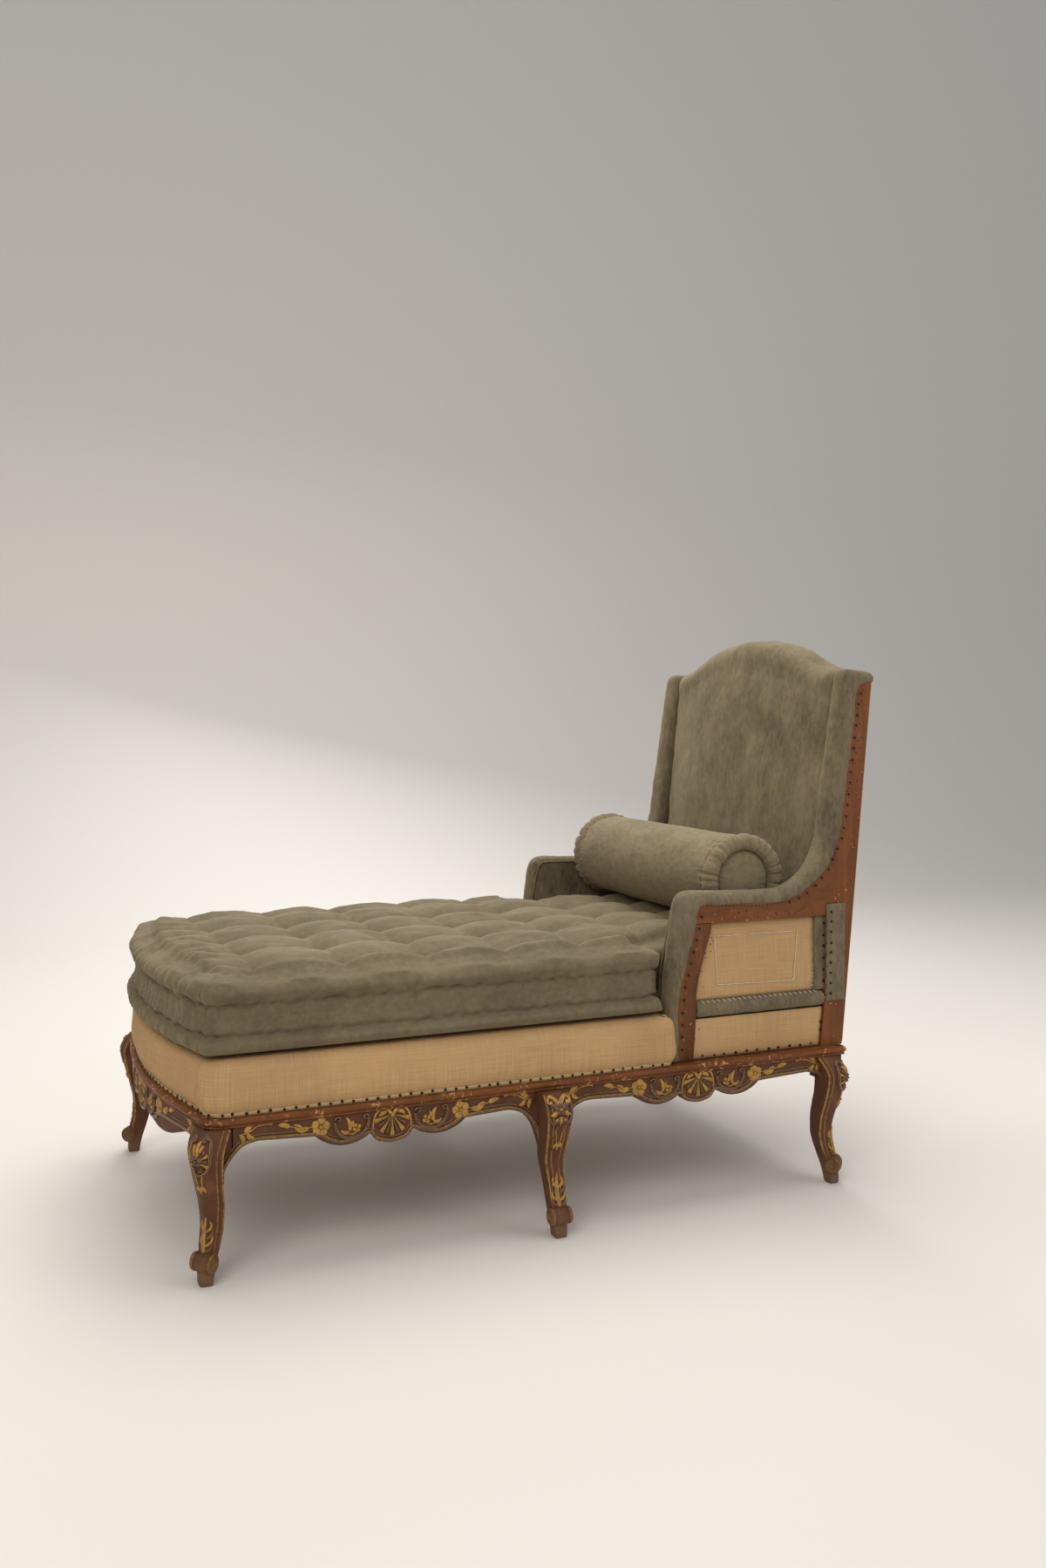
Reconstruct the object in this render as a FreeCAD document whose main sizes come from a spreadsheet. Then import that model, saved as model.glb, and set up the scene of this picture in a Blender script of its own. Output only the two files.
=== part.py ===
import FreeCAD, Part
import Sketcher
import math
import os
import re

# Chaise longue with a carved base, a high back with arms, a loose tufted mattress and a bolster.
# The long axis is X with the head end at +X, +Z is up and the origin is on the floor under the middle.
# All sizes are in millimetres.

Vector = FreeCAD.Vector

SIZES = [
    # alias, value, meaning
    ("frame_shift", 32.5, "distance from the middle of the feet to the middle of the whole piece"),
    ("foot_spread", 619.5, "half the distance between the feet of the two ends"),
    ("foot_side", 339, "half the distance between the feet of the two long sides"),
    ("mid_foot_side", 376, "distance of a middle foot from the centre line"),
    ("leg_reach", 20, "how far the ankle of a leg is drawn in behind its foot"),
    ("middle_reach", 16, "how much further in a middle leg stands above its ankle"),
    ("leg_swell", 2, "how far the sides of a leg swell out"),
    ("knee_width", 50, "width of a leg at the knee"),
    ("ankle_width", 31, "width of a leg at the ankle"),
    ("toe_width", 21, "width of the block under the scroll foot"),
    ("scroll_radius", 15, "radius of the scroll of a foot"),
    ("scroll_width", 40, "width of the scroll of a foot"),
    ("scroll_proud", 4, "how far the middle of the scroll stands out from the foot"),
    ("scroll_height", 36, "height of the middle of the scroll above the floor"),
    ("ankle_height", 85, "height of the ankle above the floor"),
    ("block_width", 46, "width of the square block on top of a leg"),
    ("rail_top", 262, "height of the top of the seat rails"),
    ("lip_height", 16, "height of the moulding on top of the rails"),
    ("lip_side", 346, "distance of the edge of the moulding from the centre line"),
    ("lip_width", 46, "width of the moulding"),
    ("lip_proud", 8, "how far the moulding stands out from the rails"),
    ("head_end", 655, "distance of the head end of the moulding from the middle of the feet"),
    ("foot_end", 668, "distance of the middle of the bowed foot end from the middle of the feet"),
    ("foot_bow", 40, "depth of the bow of the foot end"),
    ("corner_cut", 45, "length that the foot corners are cut back along the sides"),
    ("rail_thickness", 28, "thickness of the carved rails"),
    ("rail_depth", 26, "depth of the carved rails at the arches of their lower edge"),
    ("end_drop", 22, "how far the carved edge comes down beside a leg, below the arches"),
    ("lobe_drop", 25, "how far the lobes of the carved edge hang below the arches"),
    ("cusp_drop", 11, "how far the points beside the shells lie below the arches"),
    ("shell_drop", 29, "how far the shells hang below the arches"),
    ("arch_height", "=rail_top - lip_height - rail_depth", "height of the arches of the carved edge"),
    ("lobe_height", "=arch_height - lobe_drop", "height of the lobes of the carved edge"),
    ("cusp_height", "=arch_height - cusp_drop", "height of the points beside the shells"),
    ("shell_height", "=arch_height - shell_drop", "height of the bottom of the shells"),
    ("shell_width", 78, "width of a shell"),
    ("deck_top", 355, "height of the top of the sprung deck"),
    ("deck_inset", 13, "distance of the deck cover from the edge of the moulding"),
    ("deck_bulge", 10, "how far the deck cover swells out"),
    ("cloth", 2.5, "thickness of the canvas covers"),
    ("stuffing", 35, "depth of the stuffing under the deck cover"),
    ("glue_block", 34, "length of the glue blocks in the corners of the frame"),
    ("cross_rail_height", 36, "height of the cross rail"),
    ("arm_pad", 17.5, "thickness of the padding inside the arms"),
    ("liner_size", 18, "side of the square liner rail under an arm"),
    ("liner_drop", 8, "how far a liner rail's underside lies below the top of the deck"),
    ("liner_roll", 16, "radius of the velvet rolled round a liner rail"),
    ("spring_radius", 32, "radius of a seat spring"),
    ("wire", 3.6, "thickness of the spring wire"),
    ("web_width", 50, "width of the webbing"),
    ("web_thickness", 2, "thickness of the webbing"),
    ("web_height", 226, "height of the underside of the seat webbing"),
    ("frame_side", 324, "distance of the outer faces of the arms and posts from the centre line"),
    ("arm_wood", 26, "thickness of the arm rails, stumps and posts"),
    ("roll_side", 326.5, "distance of the outer face of the velvet rolls from the centre line"),
    ("roll_inner", 280, "distance of the inner face of the velvet rolls from the centre line"),
    ("roll_round", 7, "radius of the rounded edges of the velvet rolls"),
    ("stump_front", 259, "distance of the velvet front of an arm from the middle of the feet"),
    ("arm_top", 577, "height of the top of the velvet on the arms"),
    ("arm_sweep", 182, "height that an arm rail sweeps up the post behind it"),
    ("arm_depth", 59, "height of the velvet on an arm above the lower edge of its rail"),
    ("arm_under", "=arm_top - arm_depth", "height of the lower edge of the arm rails"),
    ("back_foot", 656, "distance of the rear edge of a post at the rails from the middle of the feet"),
    ("post_depth", 50, "depth of a rear post from front to rear"),
    ("post_top", 985, "height of the top of a rear post"),
    ("rake", 0.102, "how far the back leans for each unit of height"),
    ("ear_top", 1003, "height of the velvet on the corners of the back"),
    ("crown_top", 1072, "height of the middle of the arched back"),
    ("crest_cover", 12, "thickness of the velvet and padding on top of the crest rail"),
    ("back_rail", 26, "thickness of the crest rail and the lower back rail"),
    ("back_pad", 30, "thickness of the padding of the back at its edges"),
    ("back_crown", 22, "how far the middle of the back padding swells out"),
    ("mattress_height", 132, "height of the mattress between the outsides of its rolled edges"),
    ("mattress_side", 335, "half the width of the mattress"),
    ("mattress_foot", 675, "distance of the foot end of the mattress from the middle of the feet"),
    ("mattress_head", 598, "distance of the head end of the mattress from the middle of the feet"),
    ("tongue_side", 279, "half the width of the mattress between the arms"),
    ("edge_roll", 20, "radius of the stitched rolls round the mattress"),
    ("tuft_pitch", 155, "distance between the rows of tufts along the mattress"),
    ("tuft_spacing", 120, "distance between the tufts in a row"),
    ("tuft_depth", 16, "depth of a tuft under the top of the mattress"),
    ("bolster_radius", 88, "radius of the bolster"),
    ("arm_gap", 6, "gap between each end of the bolster and the arm beside it"),
    ("bolster_length", "=2 * (roll_inner - arm_gap)", "length of the bolster over its ends"),
    ("bolster_place", 470, "distance of the middle of the bolster from the middle of the feet"),
    ("bolster_rise", 98.3, "height of the middle of the bolster above the rolled edge of the mattress"),
    ("soft_gap", 0.4, "clearance between a loose cushion and what it lies on"),
]

doc = FreeCAD.newDocument("chaise_longue")
dims = doc.addObject("Spreadsheet::Sheet", "dims")
for row, (alias, value, meaning) in enumerate(SIZES, start=1):
    dims.set("A%d" % row, meaning)
    dims.set("B%d" % row, str(value))
    dims.setAlias("B%d" % row, alias)
doc.recompute()

NAMES = [alias for alias, value, meaning in SIZES]
PARTS = []


def bound(text):
    """Write an expression of size names so that it reads the cells of the sheet."""

    def cell(word):
        name = word.group()
        return "dims." + name if name in NAMES else name

    return re.sub(r"[a-z_]+", cell, str(text))


def size(text):
    """The value of an expression of size names, in millimetres."""
    return float(dims.evalExpression(bound(text)))


def bind(thing, **expressions):
    """Bind the properties of an object to expressions of size names."""
    for key, text in expressions.items():
        thing.setExpression(key.replace("__", "."), bound(text))


def place(thing, x="0", y="0", z="0"):
    """Bind the place of an object, with x measured from the middle of the feet."""
    bind(thing, Placement__Base__x="%s - frame_shift" % x, Placement__Base__y=y, Placement__Base__z=z)


def named(thing, label):
    """Give a finished sub-part its own label and keep it for the parts folder."""
    thing.Label = label
    PARTS.append(thing)
    return thing


# Boards, blocks and turned pieces


def draw(sketch, points):
    """Draw a closed outline whose points are bound to the sheet.

    A point is a pair of expressions. A third entry marks a point that an arc runs through.
    """
    corners = [Vector(size(point[0]), size(point[1]), 0) for point in points]
    count = len(points)
    index = 0
    ends = []
    while index < count:
        start = corners[index]
        if len(points[(index + 1) % count]) == 3:
            middle = corners[(index + 1) % count]
            finish = corners[(index + 2) % count]
            edge = sketch.addGeometry(Part.Arc(start, middle, finish), False)
            marker = sketch.addGeometry(Part.Point(middle), True)
            fix(sketch, marker, 1, points[(index + 1) % count])
            sketch.addConstraint(Sketcher.Constraint("PointOnObject", marker, 1, edge))
            step = 2
        else:
            finish = corners[(index + 1) % count]
            edge = sketch.addGeometry(Part.LineSegment(start, finish), False)
            step = 1
        forward = (sketch.getPoint(edge, 1) - start).Length < (sketch.getPoint(edge, 2) - start).Length
        first, last = (1, 2) if forward else (2, 1)
        fix(sketch, edge, first, points[index])
        ends.append((edge, first, last))
        index += step
    for number, (edge, first, last) in enumerate(ends):
        following = ends[(number + 1) % len(ends)]
        sketch.addConstraint(Sketcher.Constraint("Coincident", edge, last, following[0], following[1]))


def fix(sketch, geometry, end, point):
    """Bind one point of a sketch to a pair of expressions."""
    spot = sketch.getPoint(geometry, end)
    for kind, value, text in (("DistanceX", spot.x, point[0]), ("DistanceY", spot.y, point[1])):
        number = sketch.addConstraint(Sketcher.Constraint(kind, geometry, end, value))
        sketch.setExpression("Constraints[%d]" % number, bound(text))


def sketch_on(body, plane, name):
    """A sketch on one of the origin planes of its own body."""
    sketch = body.newObject("Sketcher::SketchObject", name)
    support = [feature for feature in body.Origin.OriginFeatures if feature.Role == plane][0]
    sketch.AttachmentSupport = [(support, "")]
    sketch.MapMode = "FlatFace"
    return sketch


def board(name, plane, points, thickness, soft_sides=(), softness="0"):
    """A board cut to an outline, its thickness half on each side of the plane.

    soft_sides numbers the sides of the outline whose two long edges are rounded off.
    """
    body = doc.addObject("PartDesign::Body", name)
    sketch = sketch_on(body, plane, name + "_outline")
    draw(sketch, points)
    pad = body.newObject("PartDesign::Pad", name + "_pad")
    pad.Profile = sketch
    pad.Midplane = True
    bind(pad, Length=thickness)
    body.Tip = pad
    if soft_sides:
        doc.recompute()
        middles = []
        sides = [geometry for geometry in sketch.Geometry if not isinstance(geometry, Part.Point)]
        for number in soft_sides:
            side = sides[number]
            middle = side.value((side.FirstParameter + side.LastParameter) / 2)
            middles.append(sketch.Placement.multVec(middle))
        edges = []
        for number, edge in enumerate(pad.Shape.Edges, start=1):
            spot = edge.valueAt((edge.FirstParameter + edge.LastParameter) / 2)
            for middle in middles:
                across = spot - middle
                if across.Length > 1 and abs(abs(across.y) - across.Length) < 0.01:
                    edges.append("Edge%d" % number)
        rounding = body.newObject("PartDesign::Fillet", name + "_rounding")
        rounding.Base = (pad, edges)
        bind(rounding, Radius=softness)
        body.Tip = rounding
    return body


def turned(name, points):
    """A piece turned about the Y axis from an outline of radius against Y."""
    body = doc.addObject("PartDesign::Body", name)
    sketch = sketch_on(body, "XY_Plane", name + "_profile")
    draw(sketch, points)
    turn = body.newObject("PartDesign::Revolution", name + "_turn")
    turn.Profile = sketch
    turn.ReferenceAxis = (sketch, ["V_Axis"])
    turn.Angle = 360
    body.Tip = turn
    return body


def block(name, x, y, z, length, width, height):
    """A rectangular block with its lowest corner at x, y, z."""
    box = doc.addObject("Part::Box", name)
    bind(box, Length=length, Width=width, Height=height)
    place(box, x, y, z)
    return box


def fused(name, pieces):
    result = doc.addObject("Part::MultiFuse", name)
    result.Shapes = pieces
    return result


def together(name, pieces):
    """Separate solids that share one node."""
    result = doc.addObject("Part::Compound", name)
    result.Links = pieces
    return result


def less(name, base, tools):
    """The base with the room for its neighbours cut out of it."""
    result = doc.addObject("Part::Cut", name)
    result.Base = base
    result.Tool = tools[0] if len(tools) == 1 else fused(name + "_room", tools)
    return result


def shaped(name, shape):
    """A piece whose shape is lofted or swept, placed like the others."""
    feature = doc.addObject("Part::Feature", name)
    feature.Shape = shape
    place(feature)
    return feature


# Seat frame

SIDES = (("near", -1), ("far", 1))
rail_face = "(lip_side - lip_proud)"
rail_foot = "(rail_top - lip_height)"


foot_face = "(foot_end - foot_bow - lip_proud)"
head_face = "(head_end - lip_proud)"

# Legs

LEG_STATIONS = [
    # height, share of the ankle's draw, width
    ("0", 0.0, "toe_width"),
    ("scroll_height * 0.5", 0.1, "toe_width + 3"),
    ("scroll_height * 1.4", 0.45, "(toe_width + ankle_width) / 2 + 2"),
    ("ankle_height", 1.0, "ankle_width"),
    ("ankle_height + (rail_top - ankle_height) * 0.27", 0.8, "ankle_width + 6"),
    ("ankle_height + (rail_top - ankle_height) * 0.52", 0.25, "knee_width - 7"),
    ("ankle_height + (rail_top - ankle_height) * 0.72", 0.0, "knee_width"),
    ("rail_top - lip_height", 0.35, "knee_width"),
]


def leg_section(centre_x, centre_y, height, width, swell):
    """One level of a leg: a square whose four sides swell out a little, as arcs."""
    half = width / 2.0
    corners = [(-1, -1), (1, -1), (1, 1), (-1, 1)]
    edges = []
    for number, (a, b) in enumerate(corners):
        c, e = corners[(number + 1) % 4]
        start = Vector(centre_x + a * half, centre_y + b * half, height)
        finish = Vector(centre_x + c * half, centre_y + e * half, height)
        reach = (half + swell) / 2.0
        middle = Vector(centre_x + (a + c) * reach, centre_y + (b + e) * reach, height)
        edges.append(Part.Arc(start, middle, finish).toShape())
    return Part.Wire(edges)


def leg(side, sign, place_name, along):
    """A cabriole leg: drawn in at the ankle, out at the knee and foot, with a square block on top."""
    middle = along == 0
    out_x = 0.0 if middle else along * math.sqrt(0.5)
    out_y = sign * 1.0 if middle else sign * math.sqrt(0.5)
    foot_x = along * size("foot_spread")
    foot_y = sign * (size("mid_foot_side") if middle else size("foot_side"))
    sections = []
    for height, share, width in LEG_STATIONS:
        draw_in = share * size("leg_reach")
        if middle and size(height) > size("ankle_height"):
            draw_in += size("middle_reach")
        centre_x, centre_y = foot_x - draw_in * out_x, foot_y - draw_in * out_y
        sections.append(leg_section(centre_x, centre_y, size(height), size(width), size("leg_swell")))
    name = "leg_%s_%s" % (side, place_name)
    shank = shaped(name + "_shank", Part.makeLoft(sections, True, False))
    axis = Vector(out_y, -out_x, 0)
    proud = size("scroll_proud")
    centre = Vector(foot_x + proud * out_x, foot_y + proud * out_y, size("scroll_height"))
    scroll = Part.makeCylinder(
        size("scroll_radius"), size("scroll_width"), centre - axis * (size("scroll_width") / 2), axis
    )
    scroll_piece = shaped(name + "_scroll", scroll)
    block_top = "rail_top - lip_height"
    block_low = "arch_height - end_drop"
    if middle:
        corner_x = "0 - block_width / 2"
    else:
        corner_x = "(%s - block_width)" % head_face if along > 0 else "(0 - %s)" % foot_face
    corner_y = "(%s - block_width)" % rail_face if sign > 0 else "(0 - %s)" % rail_face
    block_height = "%s - (%s)" % (block_top, block_low)
    head = block(name + "_head", corner_x, corner_y, block_low, "block_width", "block_width", block_height)
    return named(fused(name, [shank, scroll_piece, head]), name)


LEGS = {}
for side, sign in SIDES:
    for bay, along in (("foot", -1), ("middle", 0), ("head", 1)):
        LEGS[side, bay] = leg(side, sign, bay, along)


# Carved rails


def apron(start, finish, middle):
    """The outline of a carved side rail between two legs, with its shell in the middle of the bay."""
    half = "shell_width / 2"
    lobe = "0.28 * shell_width"
    return [
        (start, rail_foot),
        (start, "arch_height - end_drop"),
        ("%s + 16" % start, "arch_height - 5", "via"),
        ("%s + 42" % start, "arch_height"),
        ("%s - shell_width * 1.75" % middle, "arch_height - 5"),
        ("%s - shell_width * 1.15" % middle, "lobe_height", "via"),
        ("%s - %s" % (middle, half), "cusp_height"),
        ("%s - %s" % (middle, lobe), "shell_height + 2"),
        (middle, "shell_height", "via"),
        ("%s + %s" % (middle, lobe), "shell_height + 2"),
        ("%s + %s" % (middle, half), "cusp_height"),
        ("%s + shell_width * 1.15" % middle, "lobe_height", "via"),
        ("%s + shell_width * 1.75" % middle, "arch_height - 5"),
        ("%s - 42" % finish, "arch_height"),
        ("%s - 16" % finish, "arch_height - 5", "via"),
        (finish, "arch_height - end_drop"),
        (finish, rail_foot),
    ]


def side_rail(side, sign, bay, start, finish):
    middle = "((%s) + (%s)) / 2" % (start, finish)
    body = board("rail_%s_%s" % (side, bay), "XZ_Plane", apron(start, finish, middle), "rail_thickness")
    place(body, y="%d * (%s - rail_thickness / 2)" % (sign, rail_face))
    neighbours = [LEGS[side, "middle"], LEGS[side, bay]]
    return named(less(body.Name + "_fitted", body, neighbours), "side_rail_%s_%s" % (side, bay))


for side, sign in SIDES:
    side_rail(side, sign, "foot", "(block_width - %s)" % foot_face, "(0 - block_width / 2)")
    side_rail(side, sign, "head", "(block_width / 2)", "(%s - block_width)" % head_face)

# Head rail: straight, with the same carved lower edge on a smaller scale
rail_span = "(%s - block_width)" % rail_face
head_rail = board(
    "head_rail_blank",
    "YZ_Plane",
    [
        ("0 - %s" % rail_span, rail_foot),
        ("0 - %s" % rail_span, "arch_height - end_drop"),
        ("20 - %s" % rail_span, "arch_height - 4", "via"),
        ("52 - %s" % rail_span, "arch_height"),
        ("0 - shell_width / 2", "cusp_height"),
        ("0", "shell_height", "via"),
        ("shell_width / 2", "cusp_height"),
        ("%s - 52" % rail_span, "arch_height"),
        ("%s - 20" % rail_span, "arch_height - 4", "via"),
        (rail_span, "arch_height - end_drop"),
        (rail_span, rail_foot),
    ],
    "rail_thickness",
)
place(head_rail, x="%s - rail_thickness / 2" % head_face)
fitted = less("head_rail_fitted", head_rail, [LEGS["near", "head"], LEGS["far", "head"]])
named(fitted, "head_rail")


# Foot rail: bowed in plan, so its plan is padded and the carved edge is then pocketed out of it
def bow(inset, reach):
    """The end point and the middle of the bow at a given inset from the moulding's edge."""
    return "0 - foot_end + foot_bow + %s" % inset, "0 - foot_end + %s" % inset, reach


def foot_rail_piece():
    body = doc.addObject("PartDesign::Body", "foot_rail_blank")
    plan = sketch_on(body, "XY_Plane", "foot_rail_plan")
    outer_end, outer_middle, reach = bow("lip_proud", rail_span)
    inner_end, inner_middle, reach = bow("lip_proud + rail_thickness", rail_span)
    draw(
        plan,
        [
            (outer_end, "0 - %s" % reach),
            (outer_middle, "0", "via"),
            (outer_end, reach),
            (inner_end, reach),
            (inner_middle, "0", "via"),
            (inner_end, "0 - %s" % reach),
        ],
    )
    pad = body.newObject("PartDesign::Pad", "foot_rail_pad")
    pad.Profile = plan
    bind(pad, Length="rail_top - lip_height")
    doc.recompute()
    under = sketch_on(body, "YZ_Plane", "foot_rail_under")
    draw(
        under,
        [
            ("0 - %s - 1" % reach, "0 - 1"),
            ("0 - %s - 1" % reach, "arch_height - end_drop"),
            ("26 - %s" % reach, "arch_height - 2", "via"),
            ("64 - %s" % reach, "arch_height - 5"),
            ("0 - shell_width * 1.15", "lobe_height", "via"),
            ("0 - shell_width / 2", "cusp_height"),
            ("0", "shell_height", "via"),
            ("shell_width / 2", "cusp_height"),
            ("shell_width * 1.15", "lobe_height", "via"),
            ("%s - 64" % reach, "arch_height - 5"),
            ("%s - 26" % reach, "arch_height - 2", "via"),
            ("%s + 1" % reach, "arch_height - end_drop"),
            ("%s + 1" % reach, "0 - 1"),
        ],
    )
    pocket = body.newObject("PartDesign::Pocket", "foot_rail_pocket")
    pocket.Profile = under
    pocket.Midplane = True
    bind(pocket, Length="foot_end * 3")
    body.Tip = pocket
    place(body)
    return body


foot_legs = [LEGS["near", "foot"], LEGS["far", "foot"]]
foot_rail = named(less("foot_rail_fitted", foot_rail_piece(), foot_legs), "foot_rail")


# Moulding on top of the rails: two sides, the bowed foot and the head
lip_inner = "(lip_side - lip_width)"
foot_corner = "(0 - foot_end + foot_bow)"
for side, sign in SIDES:
    lip = board(
        "lip_" + side,
        "XY_Plane",
        [
            ("%s + corner_cut" % foot_corner, "%d * lip_side" % sign),
            ("%s + corner_cut * 0.22" % foot_corner, "%d * (lip_side - corner_cut * 0.2)" % sign, "via"),
            (foot_corner, "%d * %s" % (sign, lip_inner)),
            ("head_end", "%d * %s" % (sign, lip_inner)),
            ("head_end", "%d * (lip_side - 10)" % sign),
            ("head_end - 10", "%d * lip_side" % sign),
        ],
        "lip_height",
    )
    place(lip, z="rail_top - lip_height / 2")
    named(lip, "rail_moulding_" + side)
lip_foot = board(
    "lip_foot",
    "XY_Plane",
    [
        (foot_corner, "0 - %s" % lip_inner),
        ("0 - foot_end", "0", "via"),
        (foot_corner, lip_inner),
        ("%s + lip_width" % foot_corner, lip_inner),
        ("0 - foot_end + lip_width", "0", "via"),
        ("%s + lip_width" % foot_corner, "0 - %s" % lip_inner),
    ],
    "lip_height",
)
place(lip_foot, z="rail_top - lip_height / 2")
named(lip_foot, "rail_moulding_foot")
named(
    block(
        "lip_head",
        "head_end - lip_width",
        "0 - %s" % lip_inner,
        "rail_top - lip_height",
        "lip_width",
        "2 * %s" % lip_inner,
        "lip_height",
    ),
    "rail_moulding_head",
)

# Cross rail between the middle legs, and glue blocks in the corners
named(
    block(
        "cross_rail",
        "0 - rail_thickness / 2",
        "0 - %s" % rail_span,
        "web_height - cross_rail_height",
        "rail_thickness",
        "2 * %s" % rail_span,
        "cross_rail_height",
    ),
    "cross_rail",
)
inner_face = "(%s - rail_thickness)" % rail_face
glue_height = "(rail_top - lip_height - web_height - 2 * web_thickness - 1)"
glue_blocks = []
for number, (along, sign) in enumerate(((-1, -1), (-1, 1), (1, -1), (1, 1))):
    corner_x = "%d * (%s - block_width)" % (along, head_face if along > 0 else foot_face)
    corner_y = "%d * %s" % (sign, inner_face)
    glue = board(
        "glue_block_%d" % number,
        "XY_Plane",
        [
            (corner_x, corner_y),
            ("%s - %d * glue_block" % (corner_x, along), corner_y),
            (corner_x, "%s - %d * (block_width - rail_thickness)" % (corner_y, sign)),
        ],
        glue_height,
    )
    place(glue, z="rail_top - lip_height - %s / 2" % glue_height)
    glue_blocks.append(glue)
corner_legs = [LEGS[side, bay] for side, sign in SIDES for bay in ("foot", "head")]
named(less("glue_blocks_fitted", together("glue_blocks", glue_blocks), corner_legs), "corner_blocks")


# Springing of the seat

web_low = "web_height"
web_high = "(web_height + web_thickness)"
seat_inner = "(%s - rail_thickness)" % rail_face
LONG_BANDS = 3
EDGE_BAND = 0.86
bands = []
for number in range(-LONG_BANDS, LONG_BANDS + 1):
    share = EDGE_BAND * number / LONG_BANDS
    bow_share = (share * size(seat_inner) / size(rail_span)) ** 2
    start = "(foot_bow * %.4f - foot_end + lip_proud + rail_thickness / 2)" % bow_share
    bands.append(
        block(
            "long_band_%d" % (number + LONG_BANDS),
            start,
            "%.4f * %s - web_width / 2" % (share, seat_inner),
            web_low,
            "%s - rail_thickness - %s" % (head_face, start),
            "web_width",
            "web_thickness",
        )
    )
named(less("long_bands_fitted", together("long_bands", bands), [foot_rail]), "seat_webbing_long")
bands = []
CROSS_BANDS = 8
for number in range(CROSS_BANDS):
    share = (number + 0.5) / CROSS_BANDS
    bands.append(
        block(
            "cross_band_%d" % number,
            "rail_thickness - %s + %.4f * (%s + %s - 2 * rail_thickness) - web_width / 2"
            % (foot_face, share, foot_face, head_face),
            "0 - %s" % seat_inner,
            web_high,
            "web_width",
            "2 * %s" % seat_inner,
            "web_thickness",
        )
    )
named(together("cross_bands", bands), "seat_webbing_cross")

SPRING_TURNS = 4
SPRING_STEPS = 8
SPRING_WAIST = 0.22
WIRE_SIDES = 6
SPRING_ROWS = (-EDGE_BAND * 2 / 3, 0.0, EDGE_BAND * 2 / 3)
spring_low = size("web_height + 2 * web_thickness + wire / 2 + 0.1")
spring_high = size("deck_top - stuffing - cloth - wire / 2 - 0.1")


def wire_section(x, y, share):
    """One section of the spring wire, square to the coil that climbs round x, y with a narrow waist."""
    angle = 2 * math.pi * SPRING_TURNS * share
    radius = size("spring_radius") * (1 - SPRING_WAIST * (1 - abs(2 * share - 1)))
    rise = (spring_high - spring_low) / (2 * math.pi * SPRING_TURNS)
    outward = Vector(math.cos(angle), math.sin(angle), 0)
    forward = Vector(-radius * math.sin(angle), radius * math.cos(angle), rise).normalize()
    upward = outward.cross(forward)
    centre = Vector(x, y, spring_low + share * (spring_high - spring_low)) + outward * radius
    corners = []
    for corner in range(WIRE_SIDES):
        turn = 2 * math.pi * corner / WIRE_SIDES
        corners.append(centre + (outward * math.cos(turn) + upward * math.sin(turn)) * (size("wire") / 2))
    return Part.makePolygon(corners + [corners[0]])


def spring(x, y):
    """A coil spring standing on the webbing, as one unbroken wire."""
    steps = SPRING_TURNS * SPRING_STEPS
    sections = [wire_section(x, y, step / steps) for step in range(steps + 1)]
    return Part.makeLoft(sections, True, True)


springs = []
for number in range(1, CROSS_BANDS - 1):
    middle = size("rail_thickness - %s" % foot_face) + (number + 0.5) / CROSS_BANDS * size(
        "%s + %s - 2 * rail_thickness" % (foot_face, head_face)
    )
    for share in SPRING_ROWS:
        springs.append(spring(middle, share * size(seat_inner)))
named(shaped("springs", Part.makeCompound(springs)), "seat_springs")


# Soft forms


def plan(side, foot, bow_depth, corner, step, tongue, head, height):
    """A plan outline: bowed foot, cut corners and a narrower part between the arms."""
    foot_corner_x = bow_depth - foot
    cut = corner * 0.22
    west = [
        Vector(step, -side, height),
        Vector(foot_corner_x + corner, -side, height),
        Vector(foot_corner_x, corner - side, height),
        Vector(foot_corner_x, side - corner, height),
        Vector(foot_corner_x + corner, side, height),
        Vector(step, side, height),
    ]
    near_cut = Vector(foot_corner_x + cut, cut - side, height)
    far_cut = Vector(foot_corner_x + cut, side - cut, height)
    east = [Vector(step, tongue, height), Vector(head, tongue, height), Vector(head, -tongue, height)]
    east.append(Vector(step, -tongue, height))
    edges = [
        Part.makeLine(west[0], west[1]),
        Part.Arc(west[1], near_cut, west[2]).toShape(),
        Part.Arc(west[2], Vector(-foot, 0, height), west[3]).toShape(),
        Part.Arc(west[3], far_cut, west[4]).toShape(),
        Part.makeLine(west[4], west[5]),
    ]
    ring = [west[5]] + east + [west[0]]
    edges += [Part.makeLine(a, b) for a, b in zip(ring, ring[1:])]
    return Part.Wire(edges)


def deck_level(height, swell, inset=0.0):
    """One level of the sprung deck, swollen out past the line of tacks."""
    side = size("lip_side - deck_inset") + swell - inset
    foot = size("foot_end - deck_inset") + swell - inset
    corner = size("corner_cut") - inset
    step = size("stump_front") - 1.5 - inset
    tongue = size("roll_inner - soft_gap") - inset
    head = size("back_foot - post_depth - 6") - inset
    return plan(side, foot, size("foot_bow"), corner, step, tongue, head, height)


def deck_solid(inset, low, high):
    """The deck between two levels, with the same swell whatever its inset."""
    rise = size("deck_top") - size("rail_top")
    levels = []
    for share, swell in ((0.0, 0.0), (0.33, 1.0), (0.72, 0.85), (1.0, -0.55)):
        height = size("rail_top") + share * rise
        height = min(max(height, low), high) if share in (0.0, 1.0) else height
        levels.append(deck_level(height, swell * size("deck_bulge"), inset))
    return Part.makeLoft(levels, True, False)


cloth = size("cloth")
rail_level = size("rail_top")
deck_level_top = size("deck_top")
stuffing_low = size("deck_top - stuffing")
cavity = deck_solid(cloth, rail_level, deck_level_top - cloth)
cover = deck_solid(0.0, rail_level, deck_level_top).cut(cavity)
named(shaped("deck_cover_shape", cover), "deck_cover")


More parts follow.
